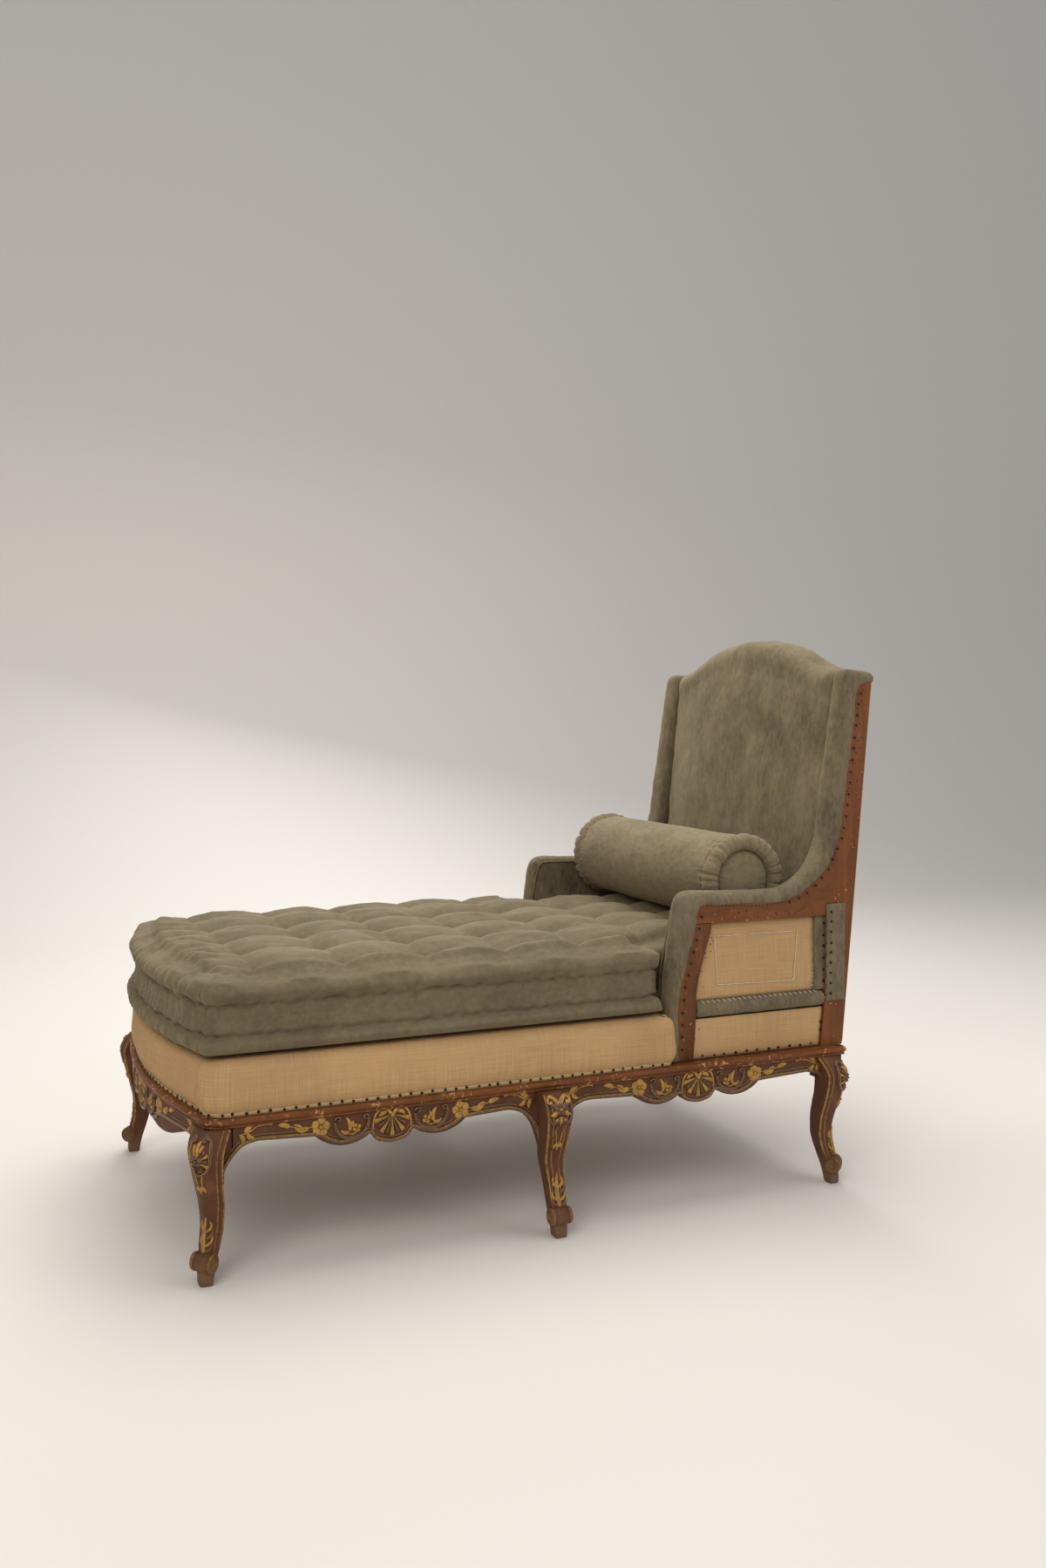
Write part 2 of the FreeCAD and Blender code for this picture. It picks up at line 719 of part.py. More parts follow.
def layer(low, thickness):
    """A level layer, wider than the seat, that is cut to the inside of the deck."""
    reach = 2 * size("foot_end")
    return cavity.common(Part.makeBox(2 * reach, 2 * reach, thickness, Vector(-reach, -reach, low)))


named(shaped("stuffing_layer", layer(stuffing_low, deck_level_top)), "deck_stuffing")
named(shaped("hessian_layer", layer(stuffing_low - cloth, cloth)), "spring_hessian")


# Arms, posts and back frame

wood_middle = "(frame_side - arm_wood / 2)"


def lean(height):
    """The rear edge of a post at a height."""
    return "(back_foot + rake * (%s - rail_top))" % height


def front(height):
    """The front edge of a post at a height."""
    return "(back_foot - post_depth + rake * (%s - rail_top))" % height


def side_board(name, side, sign, points, thickness, middle, soft_sides=(), softness="0"):
    body = board(name + "_" + side, "XZ_Plane", points, thickness, soft_sides, softness)
    place(body, y="%d * %s" % (sign, middle))
    return body


roll_middle = "((roll_side + roll_inner) / 2)"
roll_depth = "roll_side - roll_inner"
wing_rolls = []
posts = []
for side, sign in SIDES:
    post = side_board(
        "post",
        side,
        sign,
        [
            (front("rail_top"), "rail_top"),
            (lean("rail_top"), "rail_top"),
            (lean("post_top"), "post_top"),
            (front("post_top"), "post_top"),
        ],
        "arm_wood",
        wood_middle,
    )
    named(post, "rear_post_" + side)
    stump = side_board(
        "stump",
        side,
        sign,
        [
            ("stump_front + 11", "rail_top"),
            ("stump_front + 15", "(rail_top + arm_under) / 2 + 5", "via"),
            ("stump_front + 36", "arm_under"),
            ("stump_front + 96", "arm_under"),
            ("stump_front + 70", "(rail_top + arm_under) / 2 + 8", "via"),
            ("stump_front + 55", "rail_top"),
        ],
        "arm_wood",
        wood_middle,
    )
    named(stump, "arm_stump_" + side)
    arm = side_board(
        "arm",
        side,
        sign,
        [
            ("stump_front + 36", "arm_under"),
            (front("arm_under"), "arm_under"),
            (front("arm_under + arm_sweep"), "arm_under + arm_sweep"),
            (front("arm_under + arm_sweep") + " - 46", "arm_under + 78", "via"),
            ("stump_front + 262", "arm_under + 42"),
            ("stump_front + 44", "arm_under + 44"),
        ],
        "arm_wood",
        wood_middle,
    )
    named(arm, "arm_rail_" + side)
    posts.append(post)

    # Velvet rolls over the front of the stump, the top of the arm and the front of the wing
    stump_roll = side_board(
        "stump_roll",
        side,
        sign,
        [
            ("stump_front", "rail_top"),
            ("stump_front", "rail_top + 99"),
            ("stump_front + 10", "rail_top + 185", "via"),
            ("stump_front + 27", "arm_top - 17"),
            ("stump_front + 73", "arm_top - 30"),
            ("stump_front + 49", "rail_top + 150", "via"),
            ("stump_front + 27", "rail_top"),
        ],
        roll_depth,
        roll_middle,
        (0, 1),
        "roll_round",
    )
    named(less("stump_facing_" + side, stump_roll, [stump, arm]), "stump_facing_" + side)
    arm_roll = side_board(
        "arm_roll_blank",
        side,
        sign,
        [
            ("stump_front + 27", "arm_top - 17"),
            ("stump_front + 38", "arm_top - 3", "via"),
            ("stump_front + 65", "arm_top"),
            ("stump_front + 240", "arm_top - 6"),
            ("stump_front + 328", "arm_top + 36", "via"),
            (front("arm_top + 123") + " - 32", "arm_top + 123"),
            (front("arm_top + 123") + " + 14", "arm_top + 123"),
            ("stump_front + 333", "arm_top - 4", "via"),
            ("stump_front + 219", "arm_top - 37"),
            ("stump_front + 73", "arm_top - 30"),
        ],
        roll_depth,
        roll_middle,
        (0, 1, 2),
        "roll_round",
    )
    named(less("arm_roll_padding_" + side, arm_roll, [post, arm]), "arm_roll_" + side)
    wing_roll = side_board(
        "wing_roll_blank",
        side,
        sign,
        [
            (front("arm_top + 123") + " - 32", "arm_top + 123"),
            (front("ear_top - 15") + " - 15", "ear_top - 15"),
            (front("ear_top - 15") + " - 11", "ear_top - 3", "via"),
            (front("ear_top - 15") + " - 2", "ear_top"),
            (lean("ear_top") + " + 4", "ear_top - 8"),
            (lean("ear_top") + " + 8", "ear_top - 14", "via"),
            (lean("ear_top") + " + 6", "post_top - 5"),
            (lean("ear_top") + " - 4", "post_top - 5"),
            (front("post_top") + " + 22", "post_top - 16"),
            (front("arm_top + 123") + " + 14", "arm_top + 123"),
        ],
        roll_depth,
        roll_middle,
        (0, 1, 2),
        "roll_round",
    )
    wing_rolls.append(wing_roll)

    # Lower liner rail with the velvet rolled round it, the canvas panel and the tacked velvet pulls
    liner_low = "deck_top - liner_drop"
    liner = block(
        "liner_" + side,
        "stump_front + 60",
        "%d * (frame_side - arm_wood / 2) - liner_size / 2" % sign,
        liner_low,
        "%s - stump_front - 60" % front(liner_low),
        "liner_size",
        "liner_size",
    )
    named(less("liner_fitted_" + side, liner, [stump, post]), "arm_liner_rail_" + side)
    roll = doc.addObject("Part::Cylinder", "liner_velvet_" + side)
    bind(roll, Radius="liner_roll", Height="%s - stump_front - 62" % front(liner_low))
    roll.Placement.Rotation = FreeCAD.Rotation(Vector(0, 1, 0), 90)
    place(roll, "stump_front + 62", "%d * %s" % (sign, wood_middle), liner_low + " + liner_size / 2")
    named(less("liner_roll_fitted_" + side, roll, [liner, stump, post]), "liner_velvet_roll_" + side)
    panel = side_board(
        "panel",
        side,
        sign,
        [
            ("stump_front + 56", "deck_top + 17.5"),
            (front("deck_top"), "deck_top + 17.5"),
            (front("arm_under"), "arm_under"),
            ("stump_front + 90", "arm_under"),
        ],
        "cloth",
        "(%s + 2)" % wood_middle,
    )
    named(less("panel_fitted_" + side, panel, [stump, post]), "outside_arm_canvas_" + side)
    pulls = []
    for name, low_start, high_start, width, low, high, face in (
        ("outer", "7", "0 - 11", "40", "deck_top - 5", "deck_top + 185", "frame_side + cloth / 2"),
        ("inner", "0 - 24", "0 - 38", "28", "deck_top + 17.5", "arm_under", "%s + 2 + cloth" % wood_middle),
    ):
        strip = side_board(
            "pull_" + name,
            side,
            sign,
            [
                (front(low) + " + " + low_start, low),
                (front(low) + " + " + low_start + " + " + width, low),
                (front(high) + " + " + high_start + " + " + width, high),
                (front(high) + " + " + high_start, high),
            ],
            "cloth",
            "(%s)" % face,
        )
        pulls.append(strip)
    named(less("pulls_fitted_" + side, together("pulls_" + side, pulls), [post]), "velvet_pulls_" + side)
    side_canvas = side_board(
        "side_canvas_blank",
        side,
        sign,
        [
            ("stump_front + 40", "rail_top"),
            (front("rail_top"), "rail_top"),
            (front("deck_top - 16"), "deck_top - 16"),
            ("stump_front + 40", "deck_top - 16"),
        ],
        "arm_wood - 4",
        wood_middle,
    )
    named(less("side_canvas_fitted_" + side, side_canvas, [stump, roll, post]), "side_canvas_" + side)
    inside_pad = side_board(
        "inside_pad",
        side,
        sign,
        [
            ("stump_front + 27", "rail_top"),
            (front("rail_top") + " - 8", "rail_top"),
            (front("arm_under") + " - 8", "arm_under + 20"),
            ("stump_front + 40", "arm_under + 20"),
        ],
        "arm_pad",
        "(frame_side - arm_wood - arm_pad / 2)",
    )
    arm_cut = side_board(
        "facing_room",
        side,
        sign,
        [
            ("stump_front - 5", "rail_top"),
            ("stump_front + 27", "rail_top"),
            ("stump_front + 49", "rail_top + 150", "via"),
            ("stump_front + 73", "arm_top - 30"),
            ("stump_front + 20", "arm_top - 17"),
        ],
        roll_depth,
        roll_middle,
    )
    fitted = less("inside_pad_fitted_" + side, inside_pad, [arm_cut, roll, arm_roll])
    named(fitted, "inside_arm_pad_" + side)

# Back: everything between the posts is built upright in the leaning plane of the posts' rear edges

lean_angle = math.degrees(math.atan(size("rake")))
lean_length = math.sqrt(1 + size("rake") ** 2)
post_inner = "(frame_side - arm_wood)"


def up(height):
    """The distance along the leaning plane to a height."""
    return "((%s - rail_top) * %.6f)" % (height, lean_length)


def against_back(thing, depth):
    """Stand a piece in the leaning plane, its middle plane at a depth in front of the posts' rear edges."""
    thing.Placement.Rotation = FreeCAD.Rotation(Vector(0, 1, 0), lean_angle)
    tilt = math.radians(lean_angle)
    place(
        thing,
        "back_foot - (%s) * %.6f" % (depth, math.cos(tilt)),
        "0",
        "rail_top + (%s) * %.6f" % (depth, math.sin(tilt)),
    )
    return thing


def back_arch(drop, side):
    """The arched top of the back between its two ends, lowered by a drop."""
    return [
        ("0 - %s" % side, up("ear_top - %s" % drop)),
        ("0 - %s * 0.78" % side, up("ear_top + 10 - %s" % drop), "via"),
        ("0 - %s * 0.56" % side, up("ear_top + (crown_top - ear_top) * 0.56 - %s" % drop)),
        ("0", up("crown_top - %s" % drop), "via"),
        ("%s * 0.56" % side, up("ear_top + (crown_top - ear_top) * 0.56 - %s" % drop)),
        ("%s * 0.78" % side, up("ear_top + 10 - %s" % drop), "via"),
        (side, up("ear_top - %s" % drop)),
    ]


crest = board(
    "crest",
    "YZ_Plane",
    back_arch("crest_cover", post_inner)
    + [
        (post_inner, up("post_top - 75")),
        ("0", up("post_top - 45"), "via"),
        ("0 - %s" % post_inner, up("post_top - 75")),
    ],
    "back_rail",
)
against_back(crest, "back_rail / 2")
named(crest, "crest_rail")
for number, (side, sign) in enumerate(SIDES):
    wing_roll = wing_rolls[number]
    named(less("wing_padding_" + side, wing_roll, [posts[number], crest]), "wing_roll_" + side)
lower = board(
    "lower_back",
    "YZ_Plane",
    [
        ("0 - %s" % post_inner, up("deck_top + 40")),
        (post_inner, up("deck_top + 40")),
        (post_inner, up("deck_top + 85")),
        ("0 - %s" % post_inner, up("deck_top + 85")),
    ],
    "back_rail",
)
against_back(lower, "back_rail / 2")
named(lower, "lower_back_rail")


def back_bands(name, label, rows, depth):
    pieces = []
    for number, (low_side, high_side, low, high) in enumerate(rows):
        band = board(
            "%s_%d" % (name, number),
            "YZ_Plane",
            [(low_side, low), (high_side, low), (high_side, high), (low_side, high)],
            "web_thickness",
        )
        pieces.append(against_back(band, depth))
    named(less(name + "_fitted", together(name, pieces), wing_rolls), label)


upright_rows = []
for share in (-0.6, 0, 0.6):
    middle = "%s * %s" % (share, post_inner)
    edges = ("%s - web_width / 2" % middle, "%s + web_width / 2" % middle)
    upright_rows.append(edges + (up("deck_top + 60"), up("post_top - 20")))
back_bands("upright_bands", "back_webbing_upright", upright_rows, "back_rail + web_thickness / 2")
level_rows = []
for share in (0.25, 0.5, 0.75):
    height = "(deck_top + 60 + %s * (post_top - deck_top - 90))" % share
    level_rows.append(("0 - %s" % post_inner, post_inner, up(height), up(height + " + web_width")))
back_bands("level_bands", "back_webbing_level", level_rows, "back_rail + web_thickness * 1.5")
BACK_LINING = "back_rail + web_thickness * 2"
hessian = board(
    "back_lining",
    "YZ_Plane",
    back_arch("(crest_cover + 24)", post_inner)
    + [(post_inner, up("deck_top + 42")), ("0 - %s" % post_inner, up("deck_top + 42"))],
    "cloth",
)
against_back(hessian, BACK_LINING + " + cloth / 2")
named(less("back_lining_fitted", hessian, wing_rolls), "back_hessian")
crest_cover = board(
    "crest_cover",
    "YZ_Plane",
    back_arch("0", post_inner) + list(reversed(back_arch("crest_cover", post_inner))),
    "back_rail",
)
against_back(crest_cover, "back_rail / 2")
named(less("crest_cover_fitted", crest_cover, wing_rolls), "crest_padding")
outside_back = board(
    "outside_back",
    "YZ_Plane",
    back_arch("crest_cover", post_inner)
    + [
        ("frame_side", up("post_top - 6")),
        ("frame_side", up("rail_top + 4")),
        ("0 - frame_side", up("rail_top + 4")),
        ("0 - frame_side", up("post_top - 6")),
    ],
    "cloth",
)
against_back(outside_back, "0 - cloth / 2")
named(less("outside_back_fitted", outside_back, wing_rolls), "outside_back_canvas")

# Padded inside back: crowned levels lofted up the back, cut to the arch
pad_rear = size(BACK_LINING + " + cloth")
pad_front = pad_rear + size("back_pad")
pad_side = size("roll_inner") - 0.4
BACK_LEVELS = (
    # share of the height, share of the crown
    (0.0, 0.15),
    (0.12, 0.55),
    (0.35, 1.0),
    (0.65, 0.95),
    (0.88, 0.6),
    (1.0, 0.3),
)
pad_low = size(up("deck_top + 2"))
pad_high = size(up("crown_top + 10"))
levels = []
for share, crown in BACK_LEVELS:
    height = pad_low + share * (pad_high - pad_low)
    swell = crown * size("back_crown")
    corners = [
        Vector(-pad_rear, -pad_side, height),
        Vector(-pad_front, -pad_side, height),
        Vector(-pad_front, pad_side, height),
        Vector(-pad_rear, pad_side, height),
    ]
    levels.append(
        Part.Wire(
            [
                Part.makeLine(corners[0], corners[1]),
                Part.Arc(corners[1], Vector(-pad_front - swell, 0, height), corners[2]).toShape(),
                Part.makeLine(corners[2], corners[3]),
                Part.makeLine(corners[3], corners[0]),
            ]
        )
    )
pad_block = shaped("back_pad_block", Part.makeLoft(levels, True, False))
against_back(pad_block, "0")
pad_outline = board(
    "back_pad_outline",
    "YZ_Plane",
    back_arch("crest_cover / 2", "(roll_inner - 0.4)")
    + [("roll_inner - 0.4", up("deck_top + 2")), ("0.4 - roll_inner", up("deck_top + 2"))],
    "4 * back_pad + 4 * back_crown",
)
against_back(pad_outline, "back_rail")
inside_back = doc.addObject("Part::Common", "inside_back_shape")
inside_back.Base = pad_block
inside_back.Tool = pad_outline
named(inside_back, "inside_back_pad")


# Mattress: a body with drawn-in sides and a tufted top, and a stitched roll round its upper and lower edges

mattress_low = size("deck_top + soft_gap")
mattress_high = mattress_low + size("mattress_height")
roll_radius = size("edge_roll")


def mattress_plan(inset, height):
    return plan(
        size("mattress_side") - inset,
        size("mattress_foot") - inset,
        size("foot_bow"),
        size("edge_roll") * 2.4,
        size("stump_front") - 3 - inset,
        size("tongue_side") - inset,
        size("mattress_head") - inset,
        height,
    )


def stitched_roll(height):
    """A roll that follows the plan with its corners rounded off."""
    inner, outer = roll_radius * 1.4, roll_radius * 1.3
    path = mattress_plan(0.0, height)
    path = path.makeOffset2D(-(roll_radius + outer), join=2)
    path = path.makeOffset2D(outer, join=0)
    path = path.makeOffset2D(inner, join=2)
    path = path.makeOffset2D(-inner, join=0)
    start = path.Edges[0]
    point = start.valueAt(start.FirstParameter)
    direction = start.tangentAt(start.FirstParameter)
    ring = Part.Wire(Part.makeCircle(roll_radius, point, direction))
    wire = Part.Wire(Part.__sortEdges__(path.Edges))
    return wire.makePipeShell([ring], True, False)


def tufted_level(x, dip, crest, side):
    """One section across the mattress: arcs between the tufts, over a flat underside."""
    spacing = size("tuft_spacing")
    places = [-side, -2 * spacing, -spacing, 0.0, spacing, 2 * spacing, side]
    edges = []
    for low, high in zip(places, places[1:]):
        top = Vector(x, (low + high) / 2, crest)
        edges.append(Part.Arc(Vector(x, low, dip), top, Vector(x, high, dip)).toShape())
    edges.append(Part.makeLine(Vector(x, side, dip), Vector(x, side, mattress_low + 1)))
    edges.append(Part.makeLine(Vector(x, side, mattress_low + 1), Vector(x, -side, mattress_low + 1)))
    edges.append(Part.makeLine(Vector(x, -side, mattress_low + 1), Vector(x, -side, dip)))
    return Part.Wire(edges)


def mattress_shape():
    depth = size("tuft_depth")
    pitch = size("tuft_pitch")
    side = size("mattress_side") + 20
    row = -size("mattress_foot") - pitch
    stations = []
    while row < size("mattress_head") + pitch:
        stations.append((row, 1.0))
        stations.append((row + pitch / 2, 0.0))
        row += pitch
    sections = []
    for x, share in stations:
        crest = mattress_high + 9 - share * depth * 0.45
        sections.append(tufted_level(x, mattress_high + 3 - share * depth, crest, side))
    top = Part.makeLoft(sections, True, False)
    waist = mattress_plan(9.0, mattress_low)
    core = Part.Face(waist).extrude(Vector(0, 0, size("2 * mattress_height")))
    core = core.common(top)
    upper = stitched_roll(mattress_high - roll_radius)
    under = stitched_roll(mattress_low + roll_radius)
    return core.fuse([upper, under])


named(shaped("mattress_form", mattress_shape()), "mattress")

# Bolster: turned, with a gathered ring at each end
BOLSTER_RING = "bolster_radius + 4"
half_length = "bolster_length / 2"


def bolster_end(sign):
    """The profile of one end, from the middle of the cap to the start of the long side."""
    out = "%d * (%s" % (sign, half_length) + " - %s)"
    return [
        ("0", out % "0"),
        ("bolster_radius * 0.12", out % "0"),
        ("bolster_radius * 0.45", out % "4", "via"),
        ("bolster_radius * 0.72", out % "12"),
        ("bolster_radius * 0.92", out % "1", "via"),
        (BOLSTER_RING, out % "16"),
        ("bolster_radius + 3", out % "26", "via"),
        ("bolster_radius - 4", out % "29"),
    ]


bolster_profile = bolster_end(-1) + [("bolster_radius", "0", "via")] + list(reversed(bolster_end(1)))
bolster = turned("bolster_form", bolster_profile)
place(bolster, "bolster_place", "0", "deck_top + soft_gap + mattress_height + bolster_rise")
named(bolster, "bolster")


# Checks and files

doc.recompute()
for thing in doc.Objects:
    if "Invalid" in thing.State or "Error" in thing.State:
        raise RuntimeError("%s did not recompute" % thing.Label)
os.makedirs("parts", exist_ok=True)
for thing in PARTS:
    shape = thing.Shape
    if shape.isNull() or not shape.isValid() or not shape.Solids:
        raise RuntimeError("%s has no valid solid" % thing.Label)
    shape.exportStep("parts/%s.step" % thing.Label)
print("%d sub-parts" % len(PARTS))
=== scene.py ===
import math
import random

import bmesh
import bpy
import numpy as np
from bpy.props import FloatProperty, FloatVectorProperty, IntProperty, PointerProperty
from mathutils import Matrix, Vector, kdtree, noise
from mathutils.geometry import delaunay_2d_cdt


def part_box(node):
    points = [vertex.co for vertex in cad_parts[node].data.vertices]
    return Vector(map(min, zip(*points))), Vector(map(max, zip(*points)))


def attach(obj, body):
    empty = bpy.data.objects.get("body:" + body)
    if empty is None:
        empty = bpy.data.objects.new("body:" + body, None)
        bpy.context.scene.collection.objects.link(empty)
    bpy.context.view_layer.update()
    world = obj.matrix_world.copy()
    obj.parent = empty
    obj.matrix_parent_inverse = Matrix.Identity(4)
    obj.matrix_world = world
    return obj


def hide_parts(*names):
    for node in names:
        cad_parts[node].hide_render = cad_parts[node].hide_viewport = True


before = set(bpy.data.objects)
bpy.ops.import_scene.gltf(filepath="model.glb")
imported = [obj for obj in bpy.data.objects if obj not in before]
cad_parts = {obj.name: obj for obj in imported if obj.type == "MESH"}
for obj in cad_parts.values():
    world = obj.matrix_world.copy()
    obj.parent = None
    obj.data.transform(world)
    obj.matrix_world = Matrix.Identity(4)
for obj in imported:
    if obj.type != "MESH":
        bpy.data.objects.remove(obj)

bl_info = {
    "name": "Chaise Longue",
    "version": (1, 0, 0),
    "blender": (4, 5, 0),
    "location": "View3D > Sidebar > Chaise",
    "description": "Dresses a carved chaise longue with its timber, canvas, velvet, mattress and bolster",
    "category": "Object",
}

# Places are given from the middle of the feet, in metres, and at() moves them into the frame.
SHIFT = 0.0325
RAKE = 0.102
SIDES = (("near", -1), ("far", 1))
RAIL_FACE = 0.338
RAIL_TOP = 0.262
DECK_TOP = 0.355
# Where the rails' faces lie, and where the legs meet them
FOOT_FACE = 0.66
FOOT_RADIUS = 1.0858
HEAD_FACE = 0.647
FOOT_JOINT = 0.574
MIDDLE_JOINT = 0.023
HEAD_JOINT = 0.601
END_JOINT = 0.292


def at(x, y, z):
    """A point measured from the middle of the feet."""
    return Vector((x - SHIFT, y, z))


def tint(red, green, blue):
    """A colour given in the usual 0 to 255 steps, as Blender's linear colour."""
    steps = [c / 255 for c in (red, green, blue)]
    return tuple(c / 12.92 if c < 0.04 else ((c + 0.055) / 1.055) ** 2.4 for c in steps) + (1.0,)


def smooth(low, high, value):
    """0 below low, 1 above high, and an even rise between."""
    share = np.clip((value - low) / (high - low), 0.0, 1.0)
    return share * share * (3 - 2 * share)


def hump(value, width):
    """1 at zero, falling away evenly on both sides of it."""
    return np.exp(-((value / width) ** 2))


def uneven(x, y, z):
    """A steady chance value between -1 and 1 that wanders with three numbers."""
    return noise.noise(Vector((x, y, z)))


def turns(count):
    """The angles of even steps round a circle."""
    return [2 * math.pi * step / count for step in range(count)]


def unit(ways):
    """Plan directions, each brought to a length of 1."""
    return ways / np.maximum(np.hypot(*ways.T), 1e-9)[:, None]


def run_of(line):
    """The distance run along a line at each of its points."""
    return np.concatenate([[0], np.cumsum(np.hypot(*np.diff(line, axis=0).T))])


# Sizes and colours that a user would change


def length(name, description, default):
    """A size of the panel, in metres."""
    return FloatProperty(name=name, description=description, default=default, unit="LENGTH")


def colour(name, description, *steps):
    """A colour of the panel."""
    return FloatVectorProperty(
        name=name, description=description, default=tint(*steps)[:3], subtype="COLOR", min=0, max=1
    )


class ChaiseSizes(bpy.types.PropertyGroup):
    tack_spacing: length("Tack spacing", "Distance between the tacks along the canvas", 0.0205)
    tack_radius: length("Tack radius", "Radius of a tack's head", 0.0028)
    tuft_depth: length("Tuft depth", "How much deeper the tufts are drawn than in the solid form", 0.012)
    mattress_grain: length("Mattress mesh", "Size of the faces of the mattress", 0.0044)
    velvet_grain: length("Velvet mesh", "Size of the faces of the velvet on the frame", 0.006)
    weave: length("Canvas weave", "Distance between the threads of the canvas", 0.0019)
    bolster_gathers: IntProperty(
        name="Bolster gathers",
        description="Number of gathers round each end of the bolster",
        default=25,
    )


class ChaiseColours(bpy.types.PropertyGroup):
    velvet: colour("Velvet", "Colour of the lit nap of the velvet", 141, 126, 98)
    velvet_shade: colour("Velvet shade", "Colour of the velvet where its nap lies the other way", 67, 59, 45)
    canvas: colour("Canvas", "Colour of the burlap", 208, 168, 118)
    bare_wood: colour("Bare wood", "Colour of the wood of the arms and posts", 137, 80, 36)
    painted_wood: colour("Painted wood", "Colour of the ground of the carved rails and legs", 100, 58, 27)
    gilding: colour("Gilding", "Colour of the gilt carving", 196, 148, 70)


# Finishes


class Value:
    """A socket of a finish. Sums and products of it add Math nodes."""

    def __init__(self, finish, socket):
        self.finish = finish
        self.socket = socket

    def maths(self, operation, *values):
        return self.finish.node("ShaderNodeMath", {"operation": operation}, dict(enumerate(values)))

    def __add__(self, other):
        return self.maths("ADD", self, other)

    __radd__ = __add__

    def __mul__(self, other):
        return self.maths("MULTIPLY", self, other)

    __rmul__ = __mul__

    def __sub__(self, other):
        return self.maths("SUBTRACT", self, other)

    def __rsub__(self, other):
        return self.maths("SUBTRACT", other, self)

    def sine(self):
        return self.maths("SINE", self)

    def between(self, low, high):
        """0 below low, 1 above high, smooth between."""
        settings = {"interpolation_type": "SMOOTHSTEP"}
        return self.finish.node("ShaderNodeMapRange", settings, {0: self, 1: low, 2: high})


class Finish:
    """A material whose nodes all come from one method."""

    def __init__(self, name, roughness, **fixed):
        self.material = bpy.data.materials.new(name)
        self.material.use_nodes = True
        self.tree = self.material.node_tree
        self.shader = self.tree.nodes["Principled BSDF"]
        self.put(roughness, "Roughness")
        for key, value in fixed.items():
            self.put(value, key.replace("_", " "))

    def link(self, value, socket):
        if isinstance(value, Value):
            self.tree.links.new(value.socket, socket)
        else:
            socket.default_value = value

    def node(self, kind, settings=None, values=None, output=0):
        """A node of a kind, with its settings made first and then the values or links of its sockets."""
        made = self.tree.nodes.new(kind)
        for key, value in (settings or {}).items():
            setattr(made, key, value)
        for key, value in (values or {}).items():
            self.link(value, made.inputs[key])
        return Value(self, made.outputs[output])

    def place(self):
        return self.node("ShaderNodeTexCoord", output="Object")

    def stretched(self, place, scale):
        return self.node("ShaderNodeVectorMath", {"operation": "MULTIPLY"}, {0: place, 1: scale})

    def parts_of(self, place):
        first = self.node("ShaderNodeSeparateXYZ", {}, {0: place})
        return [Value(self, socket) for socket in first.socket.node.outputs]

    def attribute(self, name, output="Fac"):
        return self.node("ShaderNodeAttribute", {"attribute_name": name}, output=output)

    def noise(self, place, scale, detail=3.0, roughness=0.55, distortion=0.0):
        values = dict(Vector=place, Scale=scale, Detail=detail, Roughness=roughness, Distortion=distortion)
        return self.node("ShaderNodeTexNoise", {}, values)

    def mix(self, share, first, second):
        settings = {"data_type": "RGBA", "blend_type": "MIX", "clamp_factor": True}
        return self.node("ShaderNodeMix", settings, {0: share, 6: first, 7: second}, output=2)

    def put(self, value, socket):
        """Gives the shader one of its values."""
        self.link(value, self.shader.inputs[socket])

    def paint(self, value):
        self.put(value, "Base Color")

    def bump(self, height, distance, strength=1.0):
        made = self.node("ShaderNodeBump", {}, dict(Height=height, Distance=distance, Strength=strength))
        self.put(made, "Normal")


FINISHES = {}


def colour_of(name):
    """One of the panel's colours, with its alpha."""
    return tuple(getattr(bpy.context.scene.chaise_colours, name)) + (1.0,)


def darker(shade, share):
    return tuple(c * share for c in shade[:3]) + (1.0,)


def velvet_finish(name, nap, lift=0.0, contrast=1.0):
    """Sage velvet: brushed patches, short streaks along the nap and a fine speckle of pile."""
    f = Finish(name, 0.85, Sheen_Weight=0.35, Sheen_Roughness=0.4, Specular_IOR_Level=0.15)
    f.put(tint(208, 194, 160), "Sheen Tint")
    place = f.place()
    patches = f.noise(place, 5.0, 3.0, 0.5, 0.5)
    streaks = f.noise(f.stretched(place, nap), 26.0, 5.0, 0.6, 0.3)
    brushed = f.noise(f.stretched(place, nap), 140.0, 3.0, 0.6)
    pile = f.noise(place, 620.0, 2.0, 0.7)
    tone = patches * 0.5 + streaks * 0.6 + brushed * 0.55 + pile * 0.45 - 1.05
    # lift lightens one copy of the velvet all over; on the bolster this is painted light.
    lit = (tone * contrast + 0.5 + lift).between(0.0, 1.0)
    f.paint(f.mix(lit, colour_of("velvet_shade"), colour_of("velvet")))
    f.bump(pile * 0.7 + brushed * 0.3, 0.0012, 0.6)
    return f.material


def canvas_finish(name, shade, weave, loose=0.0):
    """Burlap: two sets of threads with thick and thin places, paler where they cross."""
    f = Finish(name, 0.93, Specular_IOR_Level=0.12)
    thread = f.attribute("thread", "Vector")
    place = f.place()
    along, up, _ = f.parts_of(thread)
    wander = f.noise(place, 60.0, 2.0) * 0.0007
    turn = 2 * math.pi / weave
    warp = ((along + wander) * turn).sine()
    weft = ((up + wander) * turn).sine()
    crossing = (warp * weft) * 0.5 + 0.5
    slubs = f.noise(f.stretched(thread, (14.0, 520.0, 1.0)), 1.0, 2.0)
    ribs = f.noise(f.stretched(thread, (520.0, 14.0, 1.0)), 1.0, 2.0)
    stain = f.noise(place, 5.0, 4.0, 0.6)
    tone = crossing * 0.3 + slubs * 0.5 + ribs * 0.5 + stain * 0.5 - 0.4 - loose
    f.paint(f.mix(tone.between(0.0, 0.95), darker(shade, 0.55), shade))
    f.bump(crossing * 0.55 + slubs * 0.3 + ribs * 0.3, 0.0009, 0.6)
    return f.material


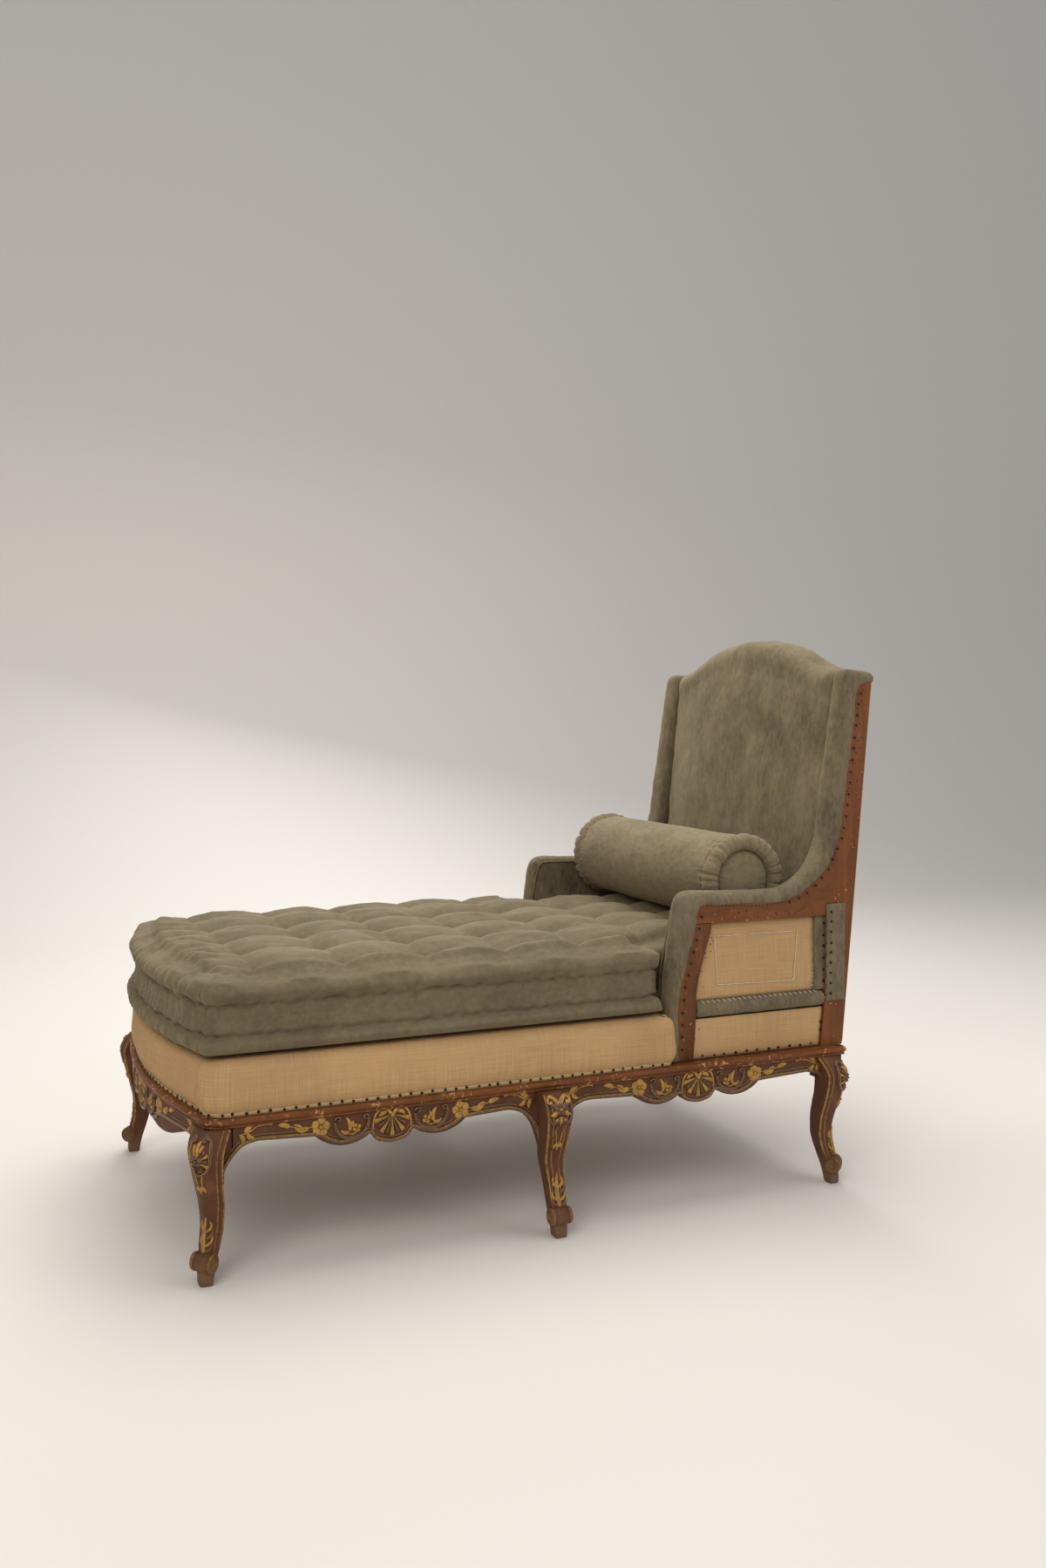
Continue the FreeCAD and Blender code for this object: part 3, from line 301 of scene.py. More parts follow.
def wood_finish(name, shade, grain, wear, chips=0.64, roughness=0.55):
    """Bare or stained wood: long grain, darker pores, rubbed patches and pale chips."""
    f = Finish(name, roughness, Specular_IOR_Level=0.28)
    place = f.place()
    bands = f.noise(f.stretched(place, grain), 7.0, 5.0, 0.6, 0.6)
    pores = f.noise(f.stretched(place, grain), 60.0, 3.0, 0.7)
    patches = f.noise(place, 14.0, 4.0, 0.6)
    chip = f.noise(place, 130.0, 3.0, 0.6).between(chips, chips + 0.05)
    rubbed = chip * f.noise(place, 24.0, 2.0).between(0.45, 0.62)
    stains = f.noise(f.stretched(place, grain), 2.2, 4.0, 0.6, 0.8)
    tone = bands * 0.6 + pores * 0.5 + patches * 0.4 - 0.25
    body = f.mix(tone.between(0.2, 0.85), darker(shade, 0.42), shade)
    body = f.mix(stains.between(0.46, 0.66) * 0.65, body, darker(shade, 0.34))
    f.paint(f.mix(rubbed * 0.8, body, wear))
    f.put(roughness + pores * 0.15 - rubbed * 0.1, "Roughness")
    f.bump(bands * 0.3 + pores * 0.4 - rubbed * 0.8, 0.0008, 0.6)
    return f.material


def painted_finish(name, shade, gilt):
    """Dark painted wood whose edges and marked lines carry worn gilding."""
    f = Finish(name, 0.5, Specular_IOR_Level=0.4)
    place = f.place()
    brush = f.noise(f.stretched(place, (6.0, 6.0, 30.0)), 6.0, 5.0, 0.6)
    patches = f.noise(place, 22.0, 4.0, 0.6)
    grime = f.noise(place, 150.0, 3.0, 0.65)
    ground = f.mix((brush * 0.7 + patches * 0.5 - 0.1).between(0.1, 0.9), darker(shade, 0.5), shade)
    ground = f.mix(patches.between(0.55, 0.75) * 0.45, ground, tint(122, 76, 40))
    flaked = f.attribute("gilt") * (1 - grime.between(0.5, 0.6) * 0.7)
    foot = 1 - f.parts_of(place)[2].between(0.018, 0.06)
    ground = f.mix(foot * 0.75, ground, f.mix(patches, tint(84, 66, 48), tint(140, 102, 68)))
    f.paint(f.mix(flaked, ground, gilt))
    f.put(0.62 - flaked * 0.2 + grime * 0.15, "Roughness")
    f.bump(grime * 0.5 + brush * 0.4, 0.0009, 0.5)
    return f.material


def gilt_finish(name, shade, under, metallic, wear):
    """Carving covered with old gold: bright on its tops, dark in its hollows and worn through in places. The
    dark along its creases is painted shade.
    """
    f = Finish(name, 0.45, Specular_IOR_Level=0.5)
    place = f.place()
    tone = f.noise(place, 90.0, 4.0, 0.6)
    flakes = f.noise(place, 260.0, 3.0, 0.65)
    worn = (flakes * 0.6 + tone * 0.5).between(wear, wear + 0.1)
    gold = f.mix(tone.between(0.3, 0.7), darker(shade, 0.55), shade)
    shown = f.attribute("gilt").between(0.15, 0.75) * (1 - worn * 0.8)
    f.paint(f.mix(shown, under, gold))
    f.put(0.68 - shown * 0.26, "Roughness")
    f.put(shown * metallic, "Metallic")
    f.bump(flakes * 0.7 + tone * 0.3, 0.0009, 0.6)
    return f.material


def plain_finish(name, shade, roughness, metallic=0.0, variation=0.35, scale=90.0):
    """A small part's finish: one colour with a little mottling."""
    f = Finish(name, roughness, Metallic=metallic)
    tone = f.noise(f.place(), scale, 3.0, 0.6)
    f.paint(f.mix(tone, darker(shade, 1 - variation), shade))
    f.put(roughness + tone * 0.2 - 0.1, "Roughness")
    f.bump(tone, 0.0004, 0.4)
    return f.material


def webbing_finish(name, shade):
    """Jute webbing: close ribs with some mottling."""
    f = Finish(name, 0.9)
    place = f.place()
    x, y, _ = f.parts_of(place)
    ribs = (x * 2200.0).sine() * (y * 2200.0).sine()
    tone = f.noise(place, 40.0, 4.0)
    f.paint(f.mix((tone + ribs * 0.15).between(0.2, 0.8), darker(shade, 0.6), shade))
    f.bump(ribs, 0.0008, 0.6)
    return f.material


def make_finishes():
    """Every finish of the pieces, by the name that they call it by."""
    bare, burlap, gilding = colour_of("bare_wood"), colour_of("canvas"), colour_of("gilding")
    old_gold = darker(gilding, 0.75)
    weave = bpy.context.scene.chaise_sizes.weave
    worn = tint(206, 150, 96)
    FINISHES.update(
        velvet=velvet_finish("frame velvet", (1.0, 1.0, 0.4)),
        back_velvet=velvet_finish("back velvet", (1.0, 1.0, 0.42), 0.05),
        mattress_velvet=velvet_finish("mattress velvet", (0.7, 1.0, 0.8), 0.02, 0.6),
        # The bolster's velvet is the same velvet lifted lighter: painted light, for the bolster is lit more
        # than the frame.
        bolster_velvet=velvet_finish("bolster velvet", (1.0, 0.5, 1.0), 0.16),
        canvas=canvas_finish("burlap", burlap, weave),
        lining=canvas_finish("hessian", darker(burlap, 0.7), weave * 1.6, 0.1),
        upright_wood=wood_finish("bare wood, upright grain", bare, (9, 9, 1), worn),
        level_wood=wood_finish("bare wood, level grain", bare, (1, 9, 9), worn),
        inner_wood=wood_finish("sawn wood", tint(150, 104, 66), (1, 9, 9), tint(196, 160, 116)),
        moulding=wood_finish("moulding", tint(138, 80, 34), (2, 2, 9), worn, 0.56, 0.45),
        painted=painted_finish("painted wood", colour_of("painted_wood"), old_gold),
        gilt=gilt_finish("gilt carving", gilding, tint(78, 46, 26), 0.3, 0.6),
        scroll=gilt_finish("brown carving", tint(124, 88, 58), tint(62, 38, 24), 0.0, 0.56),
        edge=gilt_finish("gilt edge", old_gold, tint(84, 48, 26), 0.2, 0.56),
        tack=plain_finish("tack", tint(38, 34, 32), 0.4, 0.7),
        hole=plain_finish("tack hole", tint(44, 24, 14), 0.9),
        thread=plain_finish("white thread", tint(226, 216, 198), 0.8),
        selvage=canvas_finish("selvage", tint(190, 160, 116), weave * 0.8, -0.1),
        spring=plain_finish("spring wire", tint(120, 112, 104), 0.45, 0.8),
        webbing=webbing_finish("jute webbing", tint(166, 136, 92)),
    )


# Meshes


def mesh_of(name, points, faces):
    made = bpy.data.meshes.new(name)
    made.from_pydata([tuple(p) for p in points], [], faces)
    return made


class Form:
    """Points, faces and marks of one piece while it is made."""

    def __init__(self):
        self.points = []
        self.faces = []
        self.gilt = []

    def rows(self, rows, gilt=None, filled=True):
        """Joins rows of points, which run around, into faces. The first and last row are filled."""
        first = len(self.points)
        count = len(rows[0])
        for number, row in enumerate(rows):
            self.points.extend(row)
            self.gilt.extend(gilt[number] if gilt else [0.0] * count)
        last = len(self.points) - count
        for here in range(first, last, count):
            for step in range(count):
                after = (step + 1) % count
                self.faces.append((here + step, here + after, here + count + after, here + count + step))
        if filled:
            self.faces.append(tuple(reversed(range(first, first + count))))
            self.faces.append(tuple(range(last, last + count)))

    def mesh(self, name):
        made = mesh_of(name, self.points, self.faces)
        if any(self.gilt):
            made.attributes.new("gilt", "FLOAT", "POINT").data.foreach_set("value", self.gilt)
        tidy_mesh(made)
        return made


def swept(name, rows):
    """The mesh of rows of points, closed at both ends."""
    form = Form()
    form.rows(rows)
    return form.mesh(name)


def tidy_mesh(mesh, distance=0.00001):
    """Merges doubled points and turns every face outward."""
    work = bmesh.new()
    work.from_mesh(mesh)
    bmesh.ops.remove_doubles(work, verts=work.verts, dist=distance)
    bmesh.ops.recalc_face_normals(work, faces=work.faces)
    work.to_mesh(mesh)
    work.free()
    mesh.update()


def placed(name, data):
    """An object for a mesh, a light or a camera, put in the scene."""
    made = bpy.data.objects.new(name, data)
    bpy.context.scene.collection.objects.link(made)
    return made


def piece(name, mesh, finish, body="root", replaces=(), subdivide=0):
    """Puts a finished mesh in the scene as one piece that rides on a body."""
    made = placed(name, mesh)
    mesh.materials.clear()
    mesh.materials.append(FINISHES[finish])
    mesh.shade_smooth()
    if subdivide:
        modifier = made.modifiers.new("subdivision", "SUBSURF")
        modifier.levels = subdivide
        modifier.render_levels = subdivide
    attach(made, body)
    if replaces:
        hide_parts(*replaces)
    return made


def set_thread(mesh, values):
    """Stores the run of the threads on a canvas: metres along, metres up."""
    marks = mesh.attributes.new("thread", "FLOAT_VECTOR", "POINT")
    marks.data.foreach_set("vector", np.asarray(values, dtype=np.float32).ravel())


def read_points(points, name):
    found = np.empty(len(points) * 3)
    points.foreach_get(name, found)
    return found.reshape(-1, 3)


def points_of(mesh):
    return read_points(mesh.vertices, "co")


def normals_of(mesh):
    return read_points(mesh.vertices, "normal")


def put_points(mesh, points):
    mesh.vertices.foreach_set("co", points.ravel())
    mesh.update()


def applied(made):
    """The mesh of a working object with its modifiers made real. The object is taken away."""
    mesh = bpy.data.meshes.new_from_object(made.evaluated_get(bpy.context.evaluated_depsgraph_get()))
    bpy.data.objects.remove(made)
    return mesh


def softened(name, nodes, grain, rounds, extra=None):
    """The solids of some nodes as one skin of even faces with its edges softened."""
    work = bmesh.new()
    for node in nodes:
        work.from_mesh(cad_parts[node].data)
    if extra:
        work.from_mesh(extra)
    joined_up = bpy.data.meshes.new(name)
    work.to_mesh(joined_up)
    work.free()
    made = placed(name + "_work", joined_up)
    remesh = made.modifiers.new("remesh", "REMESH")
    remesh.mode = "VOXEL"
    remesh.voxel_size = grain
    even = made.modifiers.new("even", "SMOOTH")
    even.factor = 0.5
    even.iterations = rounds
    mesh = applied(made)
    mesh.name = name
    return mesh


AIR_PRESSURE = 4.0
AIR_FRAMES = 20


def inflated(mesh, cap, held):
    """Fills a padded form with air as cloth does. No point moves further than the cap, and held ones stay."""
    scene = bpy.context.scene
    made = placed(mesh.name + "_air", mesh)
    cloth = made.modifiers.new("cloth", "CLOTH")
    cloth.settings.quality = 2
    cloth.settings.use_pressure = True
    cloth.settings.uniform_pressure_force = AIR_PRESSURE
    cloth.settings.effector_weights.gravity = 0
    cloth.collision_settings.use_collision = False
    cloth.point_cache.frame_start = 1
    cloth.point_cache.frame_end = AIR_FRAMES
    group = made.vertex_groups.new(name="held")
    group.add([int(i) for i in np.flatnonzero(held)], 1.0, "REPLACE")
    cloth.settings.vertex_group_mass = "held"
    rest = points_of(mesh)
    for number in range(1, AIR_FRAMES + 1):
        scene.frame_set(number)
    shift = points_of(made.evaluated_get(bpy.context.evaluated_depsgraph_get()).data) - rest
    moved = np.maximum(np.linalg.norm(shift, axis=1), 1e-9)
    shift *= np.minimum(1.0, cap / moved)[:, None]
    scene.frame_set(1)
    made.modifiers.clear()
    bpy.data.objects.remove(made)
    put_points(mesh, rest + shift)


def through(points, count):
    """Points at even steps along a smooth curve through the given ones."""
    points = [np.asarray(p, dtype=float) for p in points]
    if len(points) == 2:
        return [points[0] + (points[1] - points[0]) * t for t in np.linspace(0, 1, count)]
    padded = [2 * points[0] - points[1]] + points + [2 * points[-1] - points[-2]]
    spans = len(points) - 1
    found = []
    for share in np.linspace(0, spans, count):
        span = min(int(share), spans - 1)
        t = share - span
        a, b, c, d = padded[span : span + 4]
        bent = (2 * a - 5 * b + 4 * c - d) * t * t + (3 * b - a - 3 * c + d) * t**3
        found.append(0.5 * (2 * b + (c - a) * t + bent))
    return found


def arc(start, via, finish, count):
    """Points on the arc through three points of a plane."""
    (ax, ay), (bx, by), (cx, cy) = start, via, finish
    d = 2 * (ax * (by - cy) + bx * (cy - ay) + cx * (ay - by))
    a2, b2, c2 = ax * ax + ay * ay, bx * bx + by * by, cx * cx + cy * cy
    ux = (a2 * (by - cy) + b2 * (cy - ay) + c2 * (ay - by)) / d
    uy = (a2 * (cx - bx) + b2 * (ax - cx) + c2 * (bx - ax)) / d
    angles = [math.atan2(y - uy, x - ux) for x, y in (start, via, finish)]
    radius = math.hypot(ax - ux, ay - uy)
    turn = (angles[2] - angles[0]) % (2 * math.pi)
    middle = (angles[1] - angles[0]) % (2 * math.pi)
    if middle > turn:
        turn -= 2 * math.pi
    steps = [angles[0] + turn * t for t in np.linspace(0, 1, count)]
    return [np.array((ux + radius * math.cos(s), uy + radius * math.sin(s))) for s in steps]


def evenly(points, spacing, closed=True):
    """The same line with its points at even distances."""
    points = np.array([tuple(p)[:2] for p in points])
    if closed:
        points = np.vstack([points, points[:1]])
    along = run_of(points)
    count = max(4, int(round(along[-1] / spacing)))
    marks = np.linspace(0, along[-1], count + 1)
    found = np.stack([np.interp(marks, along, points[:, i]) for i in (0, 1)], 1)
    return found[:-1] if closed else found


def outward(points, closed=True):
    """The outward direction at each point of a plan line that runs the same way as plan()."""
    if closed:
        ahead = np.roll(points, -1, 0) - np.roll(points, 1, 0)
    else:
        ahead = np.gradient(points, axis=0)
    ahead = unit(ahead)
    return np.stack([-ahead[:, 1], ahead[:, 0]], 1)


BOW = 0.04


def plan(side, foot, corner, head, tongue=None, step=None):
    """A plan outline that runs from the head's near corner round the foot to the head's far corner."""
    end = BOW - foot
    cut = corner * 0.22
    near = [(end + corner, -side)]
    near += arc((end + corner, -side), (end + cut, cut - side), (end, corner - side), 9)[1:]
    near += arc((end, corner - side), (-foot, 0.0), (end, side - corner), 60)[1:]
    near += arc((end, side - corner), (end + cut, side - cut), (end + corner, side), 9)[1:]
    if tongue is None:
        return [(head, -side)] + near + [(head, side)]
    tongue_corners = [(head, tongue), (step, tongue), (step, side)]
    return [(x, -y) for x, y in tongue_corners] + near + tongue_corners[::-1]


def inside_outline(points, outline):
    """Which points lie inside a closed outline, and how far each is from its line."""
    x, y = points[:, 0], points[:, 1]
    inside = np.zeros(len(points), dtype=bool)
    gap = np.full(len(points), 1e9)
    ring = np.vstack([outline, outline[:1]])
    for (ax, ay), (bx, by) in zip(ring[:-1], ring[1:]):
        dx, dy = bx - ax, by - ay
        crosses = (ay > y) != (by > y)
        inside ^= crosses & (x < dx * (y - ay) / (dy if dy else 1e-12) + ax)
        share = np.clip(((x - ax) * dx + (y - ay) * dy) / max(dx**2 + dy**2, 1e-14), 0, 1)
        gap = np.minimum(gap, np.hypot(x - ax - share * dx, y - ay - share * dy))
    return inside, gap


def filled(outline, spacing):
    """An outline filled with even triangles: its points, their distances from the edge, and the faces."""
    outline = np.asarray(outline, dtype=float)
    low, high = outline.min(0), outline.max(0)
    rows = []
    step = spacing * 0.866
    for number in range(int((high[1] - low[1]) / step) + 1):
        across = np.arange(low[0] + (number % 2) * spacing / 2, high[0], spacing)
        rows.append(np.stack([across, np.full(len(across), low[1] + number * step)], 1))
    grid = np.vstack(rows)
    inside, gap = inside_outline(grid, outline)
    count = len(outline)
    every = [Vector(p) for p in outline] + [Vector(p) for p in grid[inside & (gap > spacing * 0.55)]]
    edges = [(i, (i + 1) % count) for i in range(count)]
    points, _, faces, origin, _, _ = delaunay_2d_cdt(every, edges, [], 1, 1e-7)
    spots = np.array([tuple(p) for p in points])
    _, gap = inside_outline(spots, outline)
    gap[[bool(found) and found[0] < count for found in origin]] = 0.0
    return spots, gap, faces


CLOTH = 0.0014


def thickened(mesh):
    """A cloth with its thickness given on the inner side, and its edge closed."""
    made = placed(mesh.name + "_work", mesh)
    solid = made.modifiers.new("thickness", "SOLIDIFY")
    solid.thickness = CLOTH
    solid.offset = -1
    return applied(made)


def panel(name, outline, spacing, surface):
    """A cloth cut to an outline. surface places each point by its two numbers and its distance in."""
    spots, gap, faces = filled(outline, spacing)
    places = [surface(a, b, d) for (a, b), d in zip(spots, gap)]
    mesh = mesh_of(name, places, faces)
    mesh.update()
    set_thread(mesh, np.column_stack([spots, np.zeros(len(spots))]))
    across = places[len(places) // 2][1]
    out = Vector((1, 0, 0)) if abs(across) < 0.2 else Vector((0, -1 if across < 0 else 1, 0))
    if mesh.polygons[0].normal.dot(out) < 0:
        mesh.flip_normals()
    return thickened(mesh)


def slab(outline, low, high):
    """A board cut to an outline of x and z, standing between two distances across."""
    return swept("slab", [[at(x, y, z) for x, z in outline] for y in (low, high)])


def traced(*steps):
    """A line through steps. A step of four numbers runs as an arc through its first pair to its second."""
    line = [np.array(steps[0])]
    for step in steps[1:]:
        if len(step) == 4:
            line += arc(tuple(line[-1]), step[:2], step[2:], 12)[1:]
        else:
            line.append(np.array(step))
    return line


def front(z):
    """The front edge of a rear post at a height."""
    return 0.606 + RAKE * (z - RAIL_TOP)


def rear(z):
    """The rear edge of a rear post at a height."""
    return 0.656 + RAKE * (z - RAIL_TOP)


def gentle(points, scale, size, seed):
    """An even random swelling of points, between -size and size."""
    shift = Vector((seed * 3.1, seed * 1.7, seed * 0.9))
    return np.array([noise.noise(Vector(p) * scale + shift) for p in points]) * size


def swell(mesh, amount):
    """Moves points along their normals."""
    put_points(mesh, points_of(mesh) + normals_of(mesh) * np.asarray(amount)[:, None])


# Springing and canvas


WEB_HALF = 0.024
WEB_SECTION = (-1, -1), (-0.8, -0.8), (0.8, -0.8), (1, -1), (1, 1), (0.8, 0.8), (-0.8, 0.8), (-1, 1)


def webbing_band(line, across, lift):
    """The rows of a band of webbing along a line, its edges slightly thicker, passing over and under."""
    rows = []
    for spot, rise in zip(line, lift):
        section = []
        for share, depth in WEB_SECTION:
            place = spot + Vector(across) * (share * WEB_HALF)
            place.z += rise + depth * 0.0009
            section.append(place)
        rows.append(section)
    return rows


def joined(name, bands):
    """Several swept bands, each given by its rows, as one mesh."""
    form = Form()
    for rows in bands:
        form.rows(rows)
    return form.mesh(name)


def webs(kind, bands):
    """The pieces of a woven webbing, one for each way that its bands run."""
    for way, every in bands.items():
        name = kind + way
        piece(name + "_woven", joined(way + "_webs", every), "webbing", replaces=[name])


def seat_webbing():
    """The webbing under the springs, the long bands passed over and under the cross ones."""
    rails = 0.31
    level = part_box("seat_webbing_long")[0].z + 0.002
    crossings = [0.028 - 0.62 + (n + 0.5) / 8 * (0.62 + HEAD_FACE - 0.056) for n in range(8)]
    longs = [0.86 * n / 3 * rails for n in range(-3, 4)]
    bands = {"long": [], "cross": []}
    for number, y in enumerate(longs):
        foot = 0.018 - FOOT_FACE + 0.04 * (y / END_JOINT) ** 2
        xs = np.linspace(foot, HEAD_FACE - 0.028, 70)
        lift = [0.0011 * math.cos(math.pi * ((x - crossings[0]) / 0.1514 + number)) for x in xs]
        bands["long"].append(webbing_band([at(x, y, level) for x in xs], (0, 1, 0), lift))
    for number, x in enumerate(crossings):
        ys = np.linspace(-rails, rails, 50)
        lift = [-0.0011 * math.cos(math.pi * ((y - longs[0]) / 0.0889 + number)) for y in ys]
        bands["cross"].append(webbing_band([at(x, y, level) for y in ys], (1, 0, 0), lift))
    webs("seat_webbing_", bands)


def hidden_layers():
    """The layers between the springs and the deck canvas, dented by the springs under them."""
    nodes = ["spring_hessian", "deck_stuffing"]
    mesh = softened("spring_hessian_layer", nodes, 0.009, 2)
    points = points_of(mesh)
    corner = (points[:, 0] < -0.57 - SHIFT) & (np.abs(points[:, 1]) > 0.24)
    dented = np.where(points[:, 2] < 0.332, gentle(points, 14, 0.003, 4), -0.0015)
    swell(mesh, np.where(corner, -0.0065, dented))
    made = piece("deck_stuffing_layer", mesh, "lining", replaces=nodes)
    set_thread(made.data, points_of(made.data))


DECK_PROFILE = (
    # distance out from the line of tacks, height
    (0.0, 0.2625), (0.0006, 0.2665), (0.0035, 0.2715), (0.0072, 0.279), (0.0094, 0.287), (0.0101, 0.295),
    (0.0098, 0.304), (0.0092, 0.313), (0.0086, 0.322), (0.0078, 0.331), (0.006, 0.339), (0.003, 0.3455),
    (-0.0018, 0.3502), (-0.0078, 0.3532), (-0.015, 0.3545),
)
PULL_STEP = 0.0205
CANVAS_DROP = 0.0006
PLEATS = (
    # distance along the foot's near corner, depth, width, slant
    (-0.012, 0.0026, 0.0035, 0.1), (0.006, 0.0034, 0.004, 0.22), (0.022, 0.003, 0.0036, 0.05),
    (0.038, 0.0028, 0.004, -0.12), (0.055, 0.0016, 0.005, -0.2),
)


def pleats(run, height):
    """How far the folds of a foot corner stand out, by the distance from the corner and the height."""
    total = 0.0
    for where, depth, width, slant in PLEATS:
        t = run - where - slant * (height - RAIL_TOP)
        if abs(t) < 0.02:
            total += depth * (hump(t, width) - 0.8 * hump(t - width * 1.3, width * 0.6))
    return total


def deck_canvas():
    """The canvas over the sprung seat, drawn down to a row of tacks, with folds at the foot corners."""
    line = evenly(plan(0.333, 0.655, 0.045, 0.596, 0.2796, 0.2575), 0.0042)
    around = outward(line)
    along = run_of(line)
    corners = []
    for sign in (-1, 1):
        spot = np.array([-0.6046, sign * 0.3224])
        corners.append((along[np.argmin(np.hypot(*(line - spot).T))], -sign))
    rows = []
    threads = []
    climbs = run_of(DECK_PROFILE)
    for climb, (out, z) in zip(climbs, DECK_PROFILE):
        row = []
        rise = (z - RAIL_TOP) / (DECK_TOP - RAIL_TOP)
        for (x, y), (ox, oy), s in zip(line, around, along):
            move = min(out, 0.0)
            if x < 0.262:
                sag = uneven(s * 9, z * 16, 1) * 0.0022
                ripple = uneven(s * 34, z * 14, 5) * 0.0011
                pull = math.cos(2 * math.pi * s / PULL_STEP) * 0.0006 * (1 - rise) ** 2
                move = out + (sag + ripple) * math.sin(math.pi * min(rise * 1.1, 1.0)) + pull
                for place, facing in corners:
                    move += pleats((s - place) * facing, z) * (1 - smooth(0.45, 0.95, rise))
            row.append(at(x + ox * move, y + oy * move, z - CANVAS_DROP))
            threads.append((s, climb, 0.0))
        rows.append(row)
    form = Form()
    form.rows(rows, filled=False)
    spots, gap, faces = filled([(p.x, p.y) for p in rows[-1]], 0.016)
    first = len(form.points)
    for (x, y), d in zip(spots, gap):
        unevenness = 0.0003 * uneven(x * 12, y * 12, 0) if d > 0 else 0.0
        form.points.append(Vector((x, y, DECK_PROFILE[-1][1] - CANVAS_DROP + unevenness)))
        threads.append((x, y + 3.0, 0.0))
    form.faces += [tuple(first + i for i in face) for face in faces]
    mesh = mesh_of("deck_canvas", form.points, form.faces)
    set_thread(mesh, threads)
    tidy_mesh(mesh, 0.00002)
    mesh = thickened(mesh)
    made = piece("deck_canvas", mesh, "canvas", replaces=["deck_cover"])


def selvage():
    """The pale selvage strip under the tacks, a little loose between them."""
    line = evenly(plan(0.333, 0.655, 0.045, 0.2575), 0.004, closed=False)[1:-1]
    rows = []
    for (x, y), (ox, oy), s in zip(line, outward(line, closed=False), run_of(line)):
        fray = uneven(s * 60, 0, 2) * 0.0007 + uneven(s * 260, 0, 7) * 0.0004
        lift = 0.0007 * math.cos(2 * math.pi * s / PULL_STEP)
        section = []
        for out, z in (
            (0.002, 0.2623),
            (0.0031, 0.2623),
            (0.0029, 0.2655),
            (0.004, 0.2688 + fray),
            (0.0031, 0.2692 + fray),
            (0.0016, 0.2656),
        ):
            spread = out + lift * (z > 0.267)
            section.append(at(x + ox * spread, y + oy * spread, z))
        rows.append(section)
    piece("deck_selvage", swept("selvage", rows), "selvage")


# Arms


ARM_COVER = traced(
    (0.259, 0.262), (0.259, 0.361), (0.269, 0.447, 0.286, 0.56), (0.297, 0.574, 0.324, 0.577),
    (0.499, 0.571), (0.587, 0.613, 0.6187, 0.7), (0.6651, 0.988), (0.6691, 1.0, 0.6781, 1.003),
    (0.7366, 0.997), (0.7412, 0.991, 0.7402, 0.972), (0.724, 0.97), (0.703, 0.966), (0.6647, 0.7),
    (0.592, 0.573, 0.478, 0.54), (0.333, 0.547), (0.324, 0.505), (0.31, 0.459), (0.295, 0.404),
    (0.288, 0.36), (0.286, 0.262),
)
STUMP_FORM = traced(
    (0.27, 0.2622), (0.275, 0.38), (0.297, 0.5212), (0.3545, 0.5212), (0.351, 0.503), (0.3385, 0.466),
    (0.3235, 0.415), (0.3185, 0.385), (0.3175, 0.34), (0.312, 0.2622),
)


def eased(mesh, weights, rounds):
    """Relaxes points toward their neighbours, each by its own weight."""
    count = len(mesh.vertices)
    pairs = np.empty(len(mesh.edges) * 2, dtype=np.int64)
    mesh.edges.foreach_get("vertices", pairs)
    pairs = pairs.reshape(-1, 2)
    ends = np.bincount(pairs.ravel(), minlength=count)[:, None]
    points = points_of(mesh)
    for _ in range(rounds):
        total = np.zeros_like(points)
        for axis in range(3):
            total[:, axis] = np.bincount(pairs[:, 0], points[pairs[:, 1], axis], count)
            total[:, axis] += np.bincount(pairs[:, 1], points[pairs[:, 0], axis], count)
        points += (total / ends - points) * weights[:, None]
    put_points(mesh, points)


def arm_velvet(side, sign):
    """Velvet drawn over the front of the stump, along the arm and up the wing, as one cover."""
    grain = bpy.context.scene.chaise_sizes.velvet_grain
    low, high = sorted((sign * 0.2805, sign * 0.3262))
    mesh = softened("arm_velvet_" + side, [], grain, 2, slab(ARM_COVER, low, high))
    points = points_of(mesh)
    _, gap = inside_outline(points[:, (0, 2)] + (SHIFT, 0), np.array(ARM_COVER))
    bottom = smooth(0.262, 0.275, points[:, 2])
    eased(mesh, 0.55 * bottom, 16)
    points = points_of(mesh)
    fullness = 1 - np.clip(np.abs(points[:, 1] - (low + high) / 2) / (high - low) * 2, 0, 1) ** 2
    outer = smooth(0.3, 0.8, normals_of(mesh)[:, 1] * sign)
    amount = 0.0022 * fullness + gentle(points, 22, 0.0016, 3) + gentle(points, 70, 0.0006, 8)
    amount += outer * 0.0012 * smooth(0.004, 0.016, gap)
    swell(mesh, amount * bottom)
    replaced = ["stump_facing_" + side, "arm_roll_" + side, "wing_roll_" + side]
    made = piece("arm_velvet_" + side, mesh, "velvet", replaces=replaced, subdivide=1)


def arm_stump(side, sign):
    """The sawn stump of an arm, its back edge curved and its corners eased."""
    middle = np.mean(STUMP_FORM, axis=0)
    rows = []
    for y, share in ((0.298, 0.985), (0.299, 1.0), (0.3228, 1.0), (0.324, 0.982)):
        rows.append([at(x, sign * y, z) for x, z in middle + (np.array(STUMP_FORM) - middle) * share])
    mesh = swept("stump", rows)
    piece("arm_stump_shaped_" + side, mesh, "upright_wood", replaces=["arm_stump_" + side])


PIPING_LINE = (
    (0.2655, 0.372), (0.269, 0.43), (0.283, 0.5), (0.2935, 0.5455), (0.301, 0.5615), (0.318, 0.5675),
    (0.4, 0.5655), (0.5, 0.5625), (0.545, 0.574),
)
PIPING = 0.0019


def arm_piping(side, sign):
    """The welt sewn inside an arm, a little in from its front and its top."""
    line = np.array(through(PIPING_LINE, 90))
    rows = []
    for (x, z), (ahead_x, ahead_z) in zip(line, unit(np.gradient(line, axis=0))):
        row = []
        for turn in turns(8):
            out = PIPING * math.cos(turn)
            row.append(at(x - ahead_z * out, sign * (0.2798 + PIPING * math.sin(turn)), z + ahead_x * out))
        rows.append(row)
    piece("arm_piping_" + side, swept("piping", rows), "velvet")


